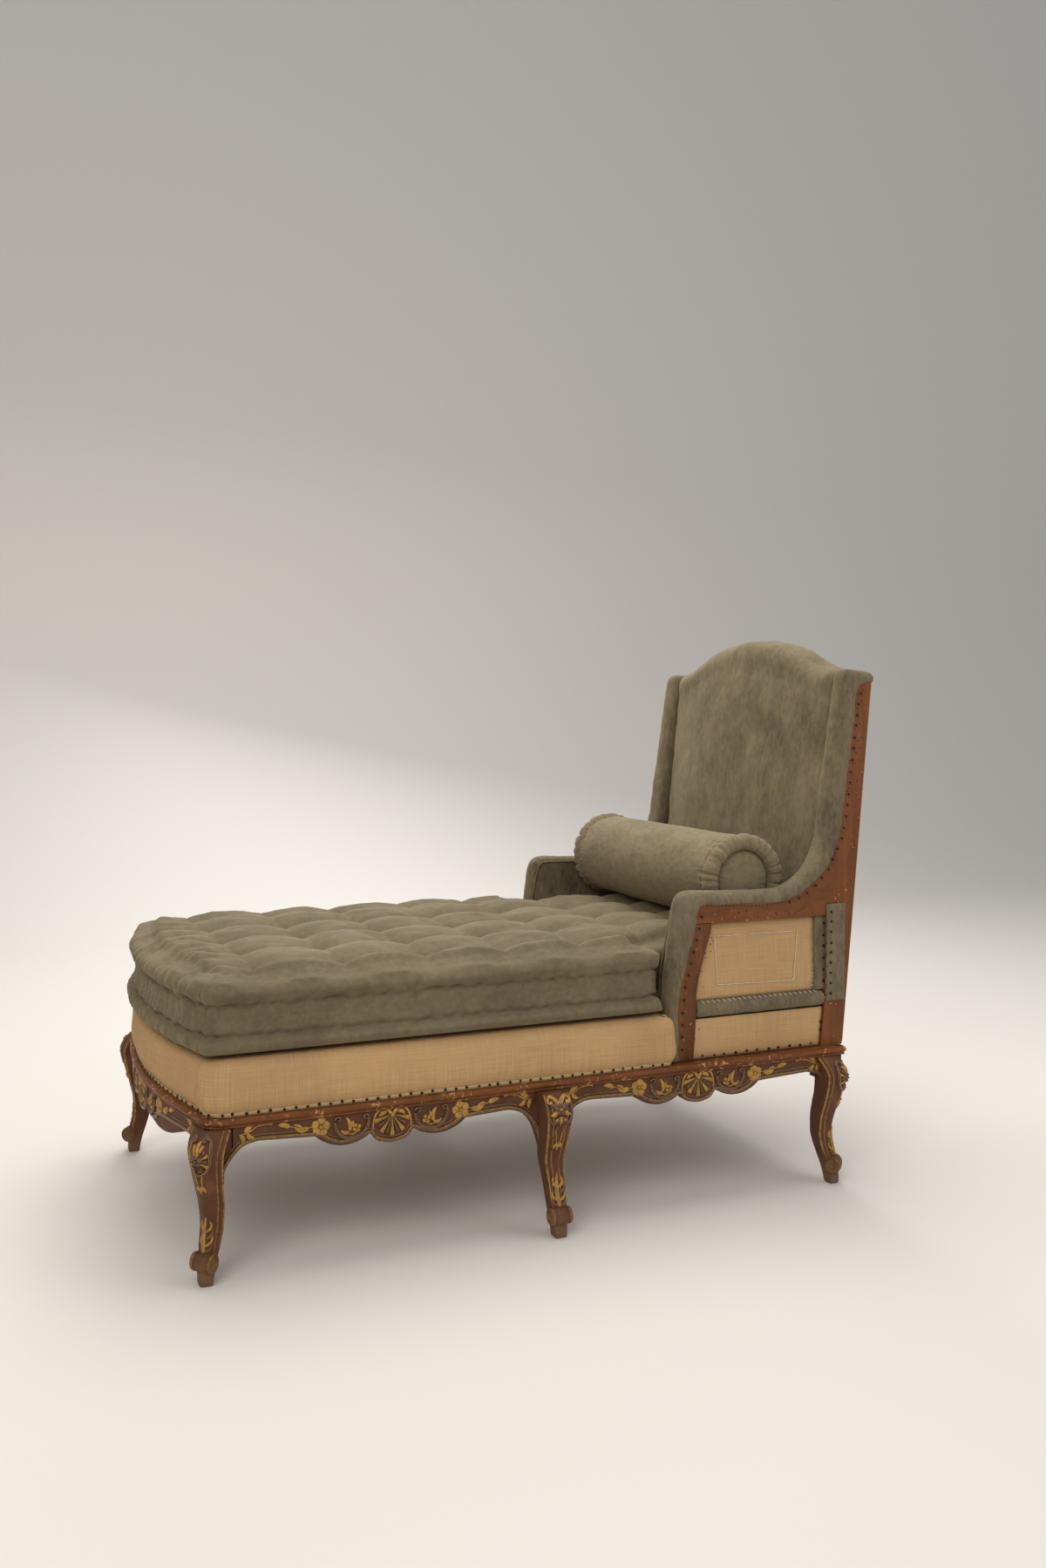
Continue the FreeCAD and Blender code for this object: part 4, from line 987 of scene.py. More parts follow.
def inside_arm(side, sign):
    """The padded velvet inside an arm, carried up under the roll on top of it."""
    outline = [(0.284, 0.2625), (front(0.262) - 0.008, 0.2625), (front(0.518) + 0.004, 0.566)]
    outline += [(0.65, 0.622), (0.63, 0.622), (0.59, 0.574), (0.299, 0.566)]
    low, high = sorted((sign * 0.2808, sign * 0.298))
    grain = bpy.context.scene.chaise_sizes.velvet_grain
    name = "inside_arm_velvet_" + side
    mesh = softened(name, [], grain, 3, slab(outline, low, high))
    swell(mesh, np.full(len(mesh.vertices), 0.0005))
    swell(mesh, gentle(points_of(mesh), 26, 0.0009, 6))
    made = piece(name, mesh, "velvet", "root", ["inside_arm_pad_" + side], 1)


def liner_roll(side, sign):
    """The velvet rolled round the lower liner rail, puckered by its whip stitches."""
    rows = []
    start, finish = 0.3225, front(0.356) - 0.001
    count = 150
    for step in range(count + 1):
        share = step / count
        x = start + (finish - start) * share
        pucker = 0.05 * (0.5 + 0.5 * math.cos(2 * math.pi * x / 0.0115))
        close = 0.86 + 0.14 * min(1.0, min(share, 1 - share) * count / 4) ** 0.5
        row = []
        for turn in turns(36):
            radius = 0.0158 * close * (1 - pucker * (math.cos(turn - 0.5) > 0.2))
            radius += uneven(x * 40, turn, sign) * 0.0007
            row.append(at(x, sign * (0.311 + radius * math.cos(turn)), 0.356 + radius * math.sin(turn)))
        rows.append(row)
    name, roll = "liner_velvet_" + side, "liner_velvet_roll_" + side
    made = piece(name, swept(name, rows), "velvet", replaces=[roll])


STRIP_SECTION = (
    # share of the width, distance off the wood
    (0, 0.0004), (0.12, 0.0015), (0.4, 0.0022), (0.7, 0.0019), (0.93, 0.0012), (1, 0.0002), (0.9, -0.0003),
    (0.1, -0.0003),
)


def velvet_strip(sign, low, high, width, y_out):
    """The rows of one strip of velvet pulled tight and tacked along its edges."""
    rows = []
    for share in np.linspace(0, 1, 61):
        start, z = (low[i] + (high[i] - low[i]) * share for i in (0, 1))
        fray = uneven(z * 130, start * 9, sign) * 0.0012
        pull = 0.0011 * math.cos(2 * math.pi * z / PULL_STEP)
        section = []
        for across, rise in STRIP_SECTION:
            edge = (fray + pull) * (2 * across - 1)
            wave = uneven(across * 3, z * 45, 3 * sign) * 0.0008 * (rise > 0.001)
            section.append(at(start + width * across + edge * 0.6, sign * (y_out + rise + wave), z))
        rows.append(section)
    return rows


def arm_canvases(side, sign):
    """The canvas stretched outside the arm, the canvas under it, and the velvet pulls at the post."""

    def stretched(y_out, bulge, seed):
        def surface(x, z, d):
            edge = min(1, d / 0.01)
            rise = bulge * (1 - math.exp(-d / 0.02)) + uneven(x * 18, z * 22, seed) * 0.0012 * edge
            rise += uneven(x * 60 + z * 30, z * 10, seed) * 0.0005 * edge
            return at(x, sign * (y_out + rise), z)

        return surface

    outline = evenly([(0.316, 0.3715), (0.6145, 0.3715), (0.632, 0.519), (0.352, 0.519)], 0.008)
    mesh = panel("arm_canvas_" + side, outline, 0.008, stretched(0.3122, 0.0018, 1 + sign))
    made = piece("arm_canvas_" + side, mesh, "canvas", replaces=["outside_arm_canvas_" + side])

    outline = evenly([(0.2995, 0.2628), (0.6055, 0.2628), (0.6135, 0.3385), (0.3025, 0.3385)], 0.008)
    mesh = panel("side_canvas_" + side, outline, 0.008, stretched(0.319, 0.004, 4 + sign))
    made = piece("side_canvas_cloth_" + side, mesh, "canvas", replaces=["side_canvas_" + side])

    wide = velvet_strip(sign, (front(0.35) + 0.001, 0.35), (front(0.54) - 0.017, 0.54), 0.046, 0.325)
    narrow = velvet_strip(sign, (front(0.3725) - 0.024, 0.3725), (front(0.518) - 0.038, 0.517), 0.033, 0.3165)
    pulls = "velvet_pulls_" + side
    mesh = joined(pulls, [wide, narrow])
    made = piece("velvet_strips_" + side, mesh, "velvet", replaces=[pulls])


# Back


LEAN = math.sqrt(1 + RAKE * RAKE)


def leaning(u, y, d):
    """A place by its distance up the leaning back, across, and forward of the posts' rear edges."""
    return at(0.656 + (u * RAKE - d) / LEAN, y, RAIL_TOP + (u + d * RAKE) / LEAN)


def up_back(z):
    """The distance up the leaning back of a height."""
    return (z - RAIL_TOP) * LEAN


def arch_height(y, drop=0.0):
    """The height of the arched back at a distance from its middle."""
    share = np.abs(np.asarray(y)) / 0.298
    inner = 1.072 - (1.072 - 1.0416) * (share / 0.56) ** 2.1
    outer = 1.003 + (1.0416 - 1.003) * np.clip((1 - share) / 0.44, 0, 1) ** 1.75
    return np.where(share < 0.56, inner, outer) - drop


def back_velvet():
    """The padded inside of the back, carried over the arched top and down to the canvas behind."""
    nodes = ["inside_back_pad", "crest_padding", "crest_rail", "back_hessian"]
    mesh = softened("back_velvet", nodes, 0.0076, 3)
    points = points_of(mesh)
    front_side = smooth(-0.2, -0.6, normals_of(mesh)[:, 0]) * smooth(0.37, 0.42, points[:, 2])
    swell(mesh, -0.006 * front_side)
    inflated(mesh, 0.01, front_side < 0.05)
    points = points_of(mesh)
    near_top = smooth(0.075, 0.03, arch_height(points[:, 1]) - points[:, 2])
    rear_side = smooth(0.3, 0.7, normals_of(mesh)[:, 0])
    eased(mesh, 0.12 + 0.48 * near_top * (1 - rear_side * 0.6), 16)
    points = points_of(mesh)
    rear_side = smooth(0.3, 0.8, normals_of(mesh)[:, 0])
    shape = gentle(points, 8, 0.0035, 2) + gentle(points, 24, 0.0016, 5) + gentle(points, 60, 0.0005, 9)
    across = np.abs(points[:, 1])
    shape += 0.0042 * smooth(0.3, 0.24, across) * smooth(0.36, 0.42, points[:, 2])
    shape += 0.006 * smooth(0.06, 0.02, arch_height(points[:, 1]) - points[:, 2])
    shape -= 0.0045 * smooth(0.262, 0.285, across) * smooth(0.94, 0.98, points[:, 2])
    shape = np.where(rear_side > 0.5, -0.0012, shape)
    shape *= smooth(0.36, 0.4, points[:, 2]) * 0.9 + 0.1
    swell(mesh, shape)
    points = points_of(mesh)
    points[:, 2] *= 1.0 + (1.0725 / points[:, 2].max() - 1.0) * smooth(0.9, 1.02, points[:, 2])
    put_points(mesh, points)
    replaced = ["inside_back_pad", "crest_padding", "back_hessian"]
    made = piece("back_velvet", mesh, "back_velvet", replaces=replaced, subdivide=1)


def back_edge(side, foot, shoulder, drop, reach, count):
    """A line round the back's outside, under its arch and down both posts, as distance up and across."""
    top = [(up_back(float(arch_height(y, drop))), y) for y in np.linspace(reach, -reach, count)]
    corners = [(foot, side), (up_back(shoulder), side)]
    return corners + top + [(u, -y) for u, y in corners[::-1]]


def back_canvas():
    """The canvas tacked over the outside of the back."""
    outline = evenly(back_edge(0.3235, 0.0045, 0.979, 0.012, 0.297, 60), 0.011)

    def surface(u, y, d):
        ripple = uneven(u * 9, y * 9, 0) * 0.0016 + uneven(u * 4, y * 38, 3) * 0.0007
        return leaning(u, y, -0.0016 - (0.0022 * (1 - math.exp(-d / 0.04)) + ripple) * min(1, d / 0.02))

    mesh = panel("outside_back_cloth", outline, 0.012, surface)
    made = piece("outside_back_cloth", mesh, "canvas", replaces=["outside_back_canvas"])


def back_tacks():
    """The tacks round the edge of the canvas behind the back."""
    line = back_edge(0.316, 0.012, 0.965, 0.02, 0.29, 40) + [(0.012, 0.31)]
    form = Form()
    tacks_along(form, line, 0.03, lambda u, y: leaning(u, y, -0.0026), (1, 0, -RAKE), random.Random(41))
    piece("back_tacks", form.mesh("back_tacks"), "tack")


def back_webs():
    """The webbing inside the back, the upright bands passed over and under the level ones."""
    uprights = [share * 0.298 for share in (-0.6, 0, 0.6)]
    levels = [0.44 + share * 0.54 for share in (0.25, 0.5, 0.75)]
    half = 0.0008
    section = (-WEB_HALF, -half), (WEB_HALF, -half), (WEB_HALF, half), (-WEB_HALF, half)
    bands = {"upright": [], "level": []}
    for number, y in enumerate(uprights):
        rows = []
        for z in np.linspace(0.416, 0.964, 60):
            weave = 0.028 + 0.0009 * math.cos(math.pi * ((z - levels[0]) / 0.135 + number))
            rows.append([leaning(up_back(z), y + off, weave + depth) for off, depth in section])
        bands["upright"].append(rows)
    for number, z in enumerate(levels):
        rows = []
        for y in np.linspace(-0.28, 0.28, 50):
            weave = 0.028 - 0.0009 * math.cos(math.pi * ((y - uprights[0]) / 0.1788 + number))
            rows.append([leaning(up_back(z) + off, y, weave + depth) for off, depth in section])
        bands["level"].append(rows)
    webs("back_webbing_", bands)


# Loose pieces


MATTRESS_FOOT = 0.3554
MATTRESS_HEIGHT = 0.132
DECK_REST = 0.3555
TUFT_ROWS = np.array([-0.675 + 0.155 * n for n in range(1, 10)])
TUFT_LINES = np.array([-0.24, -0.12, 0.0, 0.12, 0.24])
ROW_HALF = 0.0775
LINE_HALF = 0.06


def tufting(x, y):
    """How far each place lies below the crown of its pillow: 1 in a tuft, less along the creases between."""
    u = np.clip(np.min(np.abs(x[:, None] - TUFT_ROWS), axis=1) / ROW_HALF, 0, 1)
    v = np.clip(np.min(np.abs(y[:, None] - TUFT_LINES), axis=1) / LINE_HALF, 0, 1)
    su, sv = np.sin(math.pi * u / 2), np.sin(math.pi * v / 2)
    lengthwise = (1 - 0.5 * su**0.8) * (1 - sv**0.62)
    across = (1 - 0.58 * sv**0.8) * (1 - su**0.62)
    pit = hump(u * ROW_HALF, 0.011) * hump(v * LINE_HALF, 0.011)
    return 1 - (1 - lengthwise) * (1 - across) + 0.22 * pit


def squared_corners(x, y):
    """Draws the rounded foot corners of the mattress out to nearly square ones."""
    for sign in (-1, 1):
        ax, ay = x + 0.587, (y * sign - 0.287)
        turn = np.arctan2(ay, ax)
        inside = (turn > math.pi / 2) & (turn < math.radians(164))
        side = 1 / np.maximum(np.sin(turn), 0.05)
        end = 1 / np.maximum(np.cos(turn - math.radians(164)), 0.05)
        reach = np.where(inside, (side**-14 + end**-14) ** (-1 / 14), 1.0)
        x, y = -0.587 + ax * reach, sign * (0.287 + ay * reach)
    return x, y


def mattress():
    """The loose mattress: tufted top, a stitched roll along each edge, and gathered drawn-in sides."""
    sizes = bpy.context.scene.chaise_sizes
    mesh = softened("mattress_velvet", ["mattress"], sizes.mattress_grain * 2, 1)
    swell(mesh, np.full(len(mesh.vertices), -0.003))
    inflated(mesh, 0.0045, points_of(mesh)[:, 2] < 0.362)
    finer = placed("finer", mesh)
    finer.modifiers.new("finer", "SUBSURF").levels = 1
    mesh = applied(finer)
    points = points_of(mesh)
    normals = normals_of(mesh)
    x, y, z = points[:, 0] + SHIFT, points[:, 1], points[:, 2]
    line = evenly(plan(0.335, 0.675, 0.048, 0.598, 0.279, 0.256), 0.004)
    around = outward(line)
    along = run_of(line)
    tree = kdtree.KDTree(len(line))
    for i, (a, b) in enumerate(line):
        tree.insert((a, b, 0), i)
    tree.balance()
    nearest = np.array([tree.find((a, b, 0))[1] for a, b in zip(x, y)])
    inward = -np.sum((np.column_stack([x, y]) - line[nearest]) * around[nearest], axis=1)
    s = along[nearest]
    height = (z - MATTRESS_FOOT) / MATTRESS_HEIGHT
    phase = gentle(np.column_stack([s, z * 0.3, s * 0]), 22, 2.6, 17)
    run = np.column_stack([s, s * 0, s * 0])
    lumps, drift = gentle(run, 17, 1.0, 23), gentle(run, 45, 1.0, 29)

    # The tufted top
    inner = smooth(0.036, 0.058, inward)
    top = smooth(0.3, 0.7, normals[:, 2]) * (z > 0.44)
    waves = 1.0 + gentle(points, 7, 0.16, 3)
    low_x = x + gentle(points, 11, 0.007, 37)
    low_y = y + gentle(points, 11, 0.006, 41)
    waves *= 1 - 0.35 * smooth(0.1, 0.24, y)
    target = 0.4992 - (0.016 + sizes.tuft_depth) * tufting(low_x, low_y) * waves
    target += gentle(points, 9, 0.003, 13) + gentle(points * (1, 1.5, 1), 30, 0.0024, 11)
    ridges = np.abs(np.sin(math.pi * y / 0.04 + gentle(points, 9, 1.6, 3))) ** 0.8
    target += (1 - smooth(-0.6, -0.52, x)) * (0.0085 * ridges - 0.007)
    target += inner * 0.002
    target -= hump(inward - 0.046, 0.009) * (0.0095 + 0.0035 * np.sin(2 * math.pi * s / 0.037 + phase))
    points[:, 2] += (target - z) * top * inner

    # The rolls, the band between them and their stitches
    on_side = 1 - smooth(0.022, 0.04, inward)
    strong = 0.45 + 1.25 * (1 - smooth(-0.65, -0.59, x)) + 0.25 * smooth(0.18, 0.25, x)
    gather = np.sin(2 * math.pi * s / 0.029 + phase * 1.5) * 0.65
    gather += np.sin(2 * math.pi * s / 0.0165 + phase * 2.2) * 0.35
    upper = hump(height - 0.86, 0.17)
    lower = hump(height - 0.15, 0.17)
    amount = gather * 0.002 * strong * np.maximum(upper, lower)
    amount += lumps * 0.004 * upper + drift * 0.0016 * (upper + lower) + 0.0014 * (upper + lower)
    wander = 0.02 * np.sin(2 * math.pi * s / 0.047 + phase * 1.7) + 0.024 * lumps + 0.014 * drift
    amount += hump(height - 0.14, 0.13) * 0.003
    for level, drifting, width, power, depth in (
        (0.675, 1, 0.036, 1.6, 0.0125),
        (0.3, 0.6, 0.036, 1.6, 0.015),
        (0.5, 0, 0.014, 1.5, 0.0026),
    ):
        amount -= np.exp(-(np.abs((height - level - wander * drifting) / width) ** power)) * depth
    band = smooth(0.33, 0.4, height) * smooth(0.66, 0.59, height)
    amount -= band * (0.0072 - gather * 0.0012 - lumps * 0.001)
    for place, width, depth in ((-0.245, 0.005, 0.0075), (0.02, 0.004, 0.005), (-0.47, 0.004, 0.004)):
        amount -= hump(x - place, width) * (y < -0.28) * hump(height - 0.8, 0.22) * depth
    for corner in (-0.329, 0.329):
        amount -= 0.007 * hump(np.hypot(x + 0.631, y - corner), 0.007)
    flat = smooth(-0.85, -0.45, normals[:, 2])
    points += normals * (1, 1, 0.35) * (np.clip(amount, -0.022, 0.0065) * on_side * flat)[:, None]
    levels = (MATTRESS_FOOT, 0.3974, 0.4445, 0.4966), (0.356, 0.3915, 0.4385, 0.4805)
    lowered = np.interp(points[:, 2], *levels) - points[:, 2]
    points[:, 2] += lowered * (1 - smooth(0.03, 0.062, inward))
    points[:, 2] = np.maximum(points[:, 2], DECK_REST)
    put_points(mesh, points)
    eased(mesh, np.full(len(points), 0.25), 1)
    points = points_of(mesh)
    points[:, 2] = np.maximum(points[:, 2], DECK_REST)
    behind = points[:, 0] + SHIFT > 0.252
    points[:, 1] = np.where(behind, np.clip(points[:, 1], -0.2795, 0.2795), points[:, 1])
    points[:, 0] = np.minimum(points[:, 0], 0.5985 - SHIFT)
    squared_x, points[:, 1] = squared_corners(points[:, 0] + SHIFT, points[:, 1])
    points[:, 0] = squared_x - SHIFT
    put_points(mesh, points)
    made = piece("mattress_tufted", mesh, "mattress_velvet", "mattress", ["mattress"])


BOLSTER_X = 0.47
BOLSTER_Z = 0.5857
BOLSTER_SEAM = 0.2465


def bolster_profile():
    """Radius, distance from the middle and kind of place along half of the bolster, from a cap's middle."""
    profile = []
    for r in np.linspace(0.0015, 0.054, 10):
        profile.append((r, 0.26 + 0.003 * math.cos(math.pi / 2 * r / 0.056), "cap"))
    profile.append((0.059, 0.2555, "seam"))
    for t in np.linspace(0.02, 1.0, 19):
        angle = math.pi * (1.2 - t * 1.3)
        profile.append((0.0758 + 0.0158 * math.cos(angle), 0.2575 + 0.016 * math.sin(angle), "ring"))
    profile.append((0.0835, BOLSTER_SEAM, "seam"))
    near = [0.2452, 0.2435, 0.241, 0.237, 0.232, 0.226, 0.219, 0.211, 0.202]
    for y in np.concatenate([near, np.linspace(0.19, 0.0, 20)]):
        profile.append((0.0882 - 0.006 * math.exp((y - BOLSTER_SEAM) / 0.005), y, "body"))
    return profile


def bolster_spot(r, y, kind, sign, turn, gathers):
    """One point of the bolster, moved by the gathers as its kind of place asks."""
    ring_place = Vector((math.cos(turn), math.sin(turn), 0))

    def lump(scale, *shift):
        return noise.noise(ring_place * scale + Vector(shift))

    wobble = lump(2.2, 0, 0, sign * 3.0)
    phase = gathers * turn + 5.0 * wobble
    amount = 0.7 + 0.8 * lump(3.7, 4, 0, sign)
    wave = math.cos(phase)
    fine = math.cos(2.3 * phase + 1.0)
    if kind == "cap":
        y += 0.002 * lump(r * 40, 0, 3, sign * 5) - 0.001 * (1 + wave) * smooth(0.04, 0.054, r) * amount
    elif kind == "seam":
        y += 0.0026 * wave * (r > 0.07)
        r += 0.001 * wave * amount
    elif kind == "ring":
        puff = abs(math.cos(phase / 2)) ** 0.6
        r += (puff - 0.8) * 0.0052 * amount * smooth(0.066, 0.082, r)
        y += (puff - 0.85) * 0.0046 * amount + 0.0007 * fine + 0.0016 * wobble
    else:
        close = math.exp((y - BOLSTER_SEAM) / 0.011)
        r += (wave - 1) * 0.002 * close * amount + fine * 0.0006 * math.exp((y - BOLSTER_SEAM) / 0.03)
        r += lump(2.4, 0, 0, y * sign * 9) * 0.0022 + lump(7, 0, 0, y * sign * 30) * 0.0007
        y += 0.0026 * wave * close
    r = min(r, 0.0918) - max(0.0, -math.sin(turn) - 0.93) * 0.03 * (kind == "body")
    return at(BOLSTER_X + r * math.cos(turn), sign * min(y, 0.2738), BOLSTER_Z + r * math.sin(turn))


def bolster():
    """The loose bolster: a gathered seam, a puckered ring and a sunk cap at each end."""
    gathers = bpy.context.scene.chaise_sizes.bolster_gathers
    profile = bolster_profile()
    places = [(*place, -1) for place in profile] + [(*place, 1) for place in reversed(profile[:-1])]
    rows = [[bolster_spot(*place, turn, gathers) for turn in turns(270)] for place in places]
    mesh = swept("bolster", rows)
    points = points_of(mesh)
    radius = np.hypot(points[:, 0] + SHIFT - BOLSTER_X, points[:, 2] - BOLSTER_Z)
    across = np.abs(points[:, 1])
    swell(mesh, np.where((across < 0.235) & (radius > 0.08), -0.002, 0.0))
    seam = (np.abs(across - BOLSTER_SEAM) < 0.0012) & (radius > 0.08)
    bottom = points[:, 2] < BOLSTER_Z - 0.075
    inflated(mesh, 0.0045, seam | bottom | (radius < 0.06))
    made = piece("bolster_gathered", mesh, "bolster_velvet", "bolster", ["bolster"])


# Timber


def dress(finish, *nodes):
    """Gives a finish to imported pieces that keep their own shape."""
    for node in nodes:
        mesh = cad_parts[node].data
        mesh.materials.clear()
        mesh.materials.append(FINISHES[finish])


def both(*names):
    return [name + "_" + side for name in names for side, _ in SIDES]


SIDE_RAILS = [f"side_rail_{side}_{bay}" for side, _ in SIDES for bay in ("foot", "head")]
LIP_PROFILE = (
    # distance out from the lip's edge, height, share of gilding
    (-0.034, 0.2465, 0.0), (-0.034, 0.2619, 0.0), (-0.02, 0.262, 0.0), (-0.006, 0.262, 0.0),
    (-0.003, 0.2614, 0.15), (-0.001, 0.2597, 0.25), (0.0, 0.257, 0.2), (-0.0004, 0.2545, 0.1),
    (-0.002, 0.2522, 0.0), (-0.0045, 0.251, 0.0), (-0.0052, 0.25, 0.0), (-0.0036, 0.2492, 0.35),
    (-0.003, 0.248, 0.45), (-0.004, 0.2466, 0.2), (-0.0075, 0.2462, 0.0),
)


def rail_moulding():
    """The rounded moulding that runs round the top of the rails."""
    corner = arc((0.645, 0.346), (0.6521, 0.3431), (0.655, 0.336), 6)
    head = corner + [(x, -y) for x, y in reversed(corner)]
    line = evenly(plan(0.346, 0.668, 0.045, 0.655)[1:-1] + head, 0.006)
    rows = []
    for out, z, _ in LIP_PROFILE + LIP_PROFILE[:1]:
        row = []
        for (x, y), (ox, oy) in zip(line, outward(line)):
            worn = out + uneven(x * 30, y * 30, z * 40) * 0.0005
            row.append(at(x + ox * worn, y + oy * worn, z))
        rows.append(row)
    form = Form()
    form.rows(rows, [[gold] * len(line) for _, _, gold in LIP_PROFILE + LIP_PROFILE[:1]], filled=False)
    replaced = ["rail_moulding_" + name for name in ("near", "far", "foot", "head")]
    piece("rail_moulding", form.mesh("rail_moulding"), "moulding", replaces=replaced)


# Light, floor and camera


def make_stage():
    """A pale floor that curves up behind the piece, and four soft lamps."""
    far = 7.0
    rows = []
    for i in range(41):
        t = i / 40
        if t < 0.5:
            rows.append((-far + t * 2 * (far + 2.6), 0.0))
        else:
            turn = (t - 0.5) * math.pi
            rows.append((2.6 + 1.6 * math.sin(turn), 1.6 * (1 - math.cos(turn))))
    rows.append((4.2, 7.0))
    points = [(x, y, z) for y, z in rows for x in (-far, far)]
    faces = [(2 * i, 2 * i + 1, 2 * i + 3, 2 * i + 2) for i in range(len(rows) - 1)]
    floor = mesh_of("floor", points, faces)
    made = placed("floor", floor)
    floor.shade_smooth()
    finish = Finish("pale floor", 0.9, Specular_IOR_Level=0.1)
    finish.paint(tint(225, 220, 212))
    floor.materials.append(finish.material)
    world = bpy.data.worlds.new("studio")
    world.use_nodes = True
    sky = world.node_tree.nodes["Background"]
    sky.inputs[0].default_value = tint(235, 238, 244)
    sky.inputs[1].default_value = 0.5
    bpy.context.scene.world = world
    for name, place, size, power, shade in (
        ("key", (-2.3, -2.6, 3.1), 2.2, 58, tint(255, 250, 240)),
        ("fill", (2.8, -2.4, 1.9), 2.6, 24, tint(245, 247, 255)),
        ("top", (0.2, 0.6, 3.2), 2.6, 76, tint(255, 253, 248)),
        ("back", (0.8, 3.2, 2.2), 2.0, 40, tint(250, 250, 255)),
    ):
        data = bpy.data.lights.new(name, "AREA")
        data.energy = power
        data.size = size
        data.color = shade[:3]
        lamp = placed(name, data)
        lamp.location = place
        lamp.rotation_euler = (Vector((0, 0, 0.45)) - Vector(place)).to_track_quat("-Z", "Y").to_euler()


def make_camera():
    """The camera, placed as the one that took the photograph."""
    data = bpy.data.cameras.new("camera")
    data.lens = 29.92
    data.sensor_width = 36
    data.shift_x = 0.0743
    data.shift_y = -0.0511
    camera = placed("camera", data)
    camera.location = (-1.082 - SHIFT, -2.407, 0.933)
    camera.rotation_euler = (math.radians(90), 0, math.radians(-21.38))
    bpy.context.scene.camera = camera
    bpy.context.scene.view_settings.view_transform = "Standard"


# Carving. A face turns two numbers along a surface and a relief height into a place.


def side_face(sign):
    return lambda a, b, h: at(a, sign * (RAIL_FACE + h), b)


def foot_face(a, b, h):
    """The bowed face of the foot rail, where a runs across the foot."""
    turn = a / FOOT_RADIUS
    reach = FOOT_RADIUS + h
    return at(-FOOT_FACE + FOOT_RADIUS - reach * math.cos(turn), reach * math.sin(turn), b)


def head_face(a, b, h):
    return at(HEAD_FACE + h, a, b)


RIDGE_SECTION = (
    # share of the width, share of the height (None is sunk in the surface), share of gilding
    (-1, None, 0.3),
    (-0.86, 0.45, 0.62), (-0.45, 0.92, 1), (0, 1, 1), (0.45, 0.92, 1), (0.86, 0.45, 0.62),
    (1, None, 0.3),
)
SINK = 0.0012


def ridge(form, line, widths, heights, face, crease=0.0):
    """A raised moulding along a line of a face. It may widen, rise and have a crease along its middle, which
    is painted darker as painted shade.
    """
    line = np.asarray(line, dtype=float)
    count = len(line)
    widths = np.broadcast_to(widths, count)
    heights = np.broadcast_to(heights, count)
    # A crease takes gilding share off the middle of the section: painted shade along the crease.
    marks = [mark - 1.6 * crease * (share == 0) for share, _, mark in RIDGE_SECTION]
    rows = []
    for (a, b), (da, db), width, height in zip(line, unit(np.gradient(line, axis=0)), widths, heights):
        row = []
        for share, rise, _ in RIDGE_SECTION:
            lift = -SINK if rise is None else (rise - crease * (share == 0)) * height
            row.append(face(a - db * share * width, b + da * share * width, lift))
        rows.append(row)
    form.rows(rows, [marks] * count)


def leaf(form, base, tip, width, face, bend=0.0, height=0.0035, crease=0.3, steps=10, peak=0.75):
    """A leaf or petal from its base to its tip, bent to one side."""
    base, tip = np.array(base, dtype=float), np.array(tip, dtype=float)
    ahead = tip - base
    side = np.array((-ahead[1], ahead[0]))
    t = np.linspace(0, 1, steps + 1)
    line = base + ahead * t[:, None] + side * (bend * np.sin(math.pi * t))[:, None]
    widths = width * 1.15 * np.sin(math.pi * np.clip(0.05 + 0.93 * t, 0, 1) ** peak) ** 0.62 + 0.0003
    heights = height * (0.35 + 0.65 * np.sin(math.pi * np.clip(0.12 + 0.8 * t, 0, 1)))
    ridge(form, line, widths, heights, face, crease)


def leaves(form, start, facing, face, *table):
    """Leaves given by base, tip, width, bend and height, measured from a start the way it faces."""
    a, b = start
    for u, v, tip_u, tip_v, width, bend, height in table:
        base, tip = (a + facing * u, b + v), (a + facing * tip_u, b + tip_v)
        leaf(form, base, tip, width, face, bend * facing, height)


def boss(form, middle, radius, height, face, steps=12):
    """A small round knob."""
    a, b = middle
    rows = []
    for share, lift in ((1.0, -SINK), (0.95, height * 0.4), (0.7, height * 0.8), (0.35, height)):
        reach = radius * share
        rows.append([face(a + reach * math.cos(t), b + reach * math.sin(t), lift) for t in turns(steps)])
    form.rows(rows, [[mark] * steps for mark in (0, 0.4, 0.9, 1)])


def flower(form, middle, radius, face, petals=5, turn=0.3, height=0.0042):
    """Petals round a knob."""
    middle = np.array(middle)
    for n in range(petals):
        angle = turn + 2 * math.pi * n / petals
        reach = np.array((math.cos(angle), math.sin(angle))) * radius
        leaf(form, middle + reach * 0.18, middle + reach, radius * 0.42, face, 0.0, height, 0.3, 9, 1.35)
    boss(form, middle, radius * 0.22, height * 1.15, face)


def curl(form, middle, radius, start, sweep, face, width=0.0028, height=0.0045, tight=0.25):
    """A scroll that winds inward from a radius and ends in a knob."""
    t = np.linspace(0, 1, max(10, int(abs(sweep) * 5)) + 1)
    angles = start + sweep * t
    reach = radius * (1 - (1 - tight) * t**1.2)
    line = np.array(middle) + np.stack([reach * np.cos(angles), reach * np.sin(angles)], 1)
    ridge(form, line, width * (1 - 0.35 * t), height * (0.75 + 0.25 * t), face, 0.15)
    boss(form, line[-1], width * 1.05, height * 1.1, face)


def stem(form, start, facing, points, width, face):
    """A thin stem through points measured from a start the way it faces."""
    a, b = start
    line = through([(a + facing * u, b + v) for u, v in points], 5 * len(points))
    ridge(form, line, width, 0.0018, face)


def strap(form, points, count, widths, heights, face, crease):
    """A curved strap whose width and height run from a first to a last value. It gives back its line."""
    line = through(points, count)
    t = np.linspace(0, 1, count)
    widths, heights = (first + (last - first) * t for first, last in (widths, heights))
    ridge(form, line, widths, heights, face, crease)
    return line


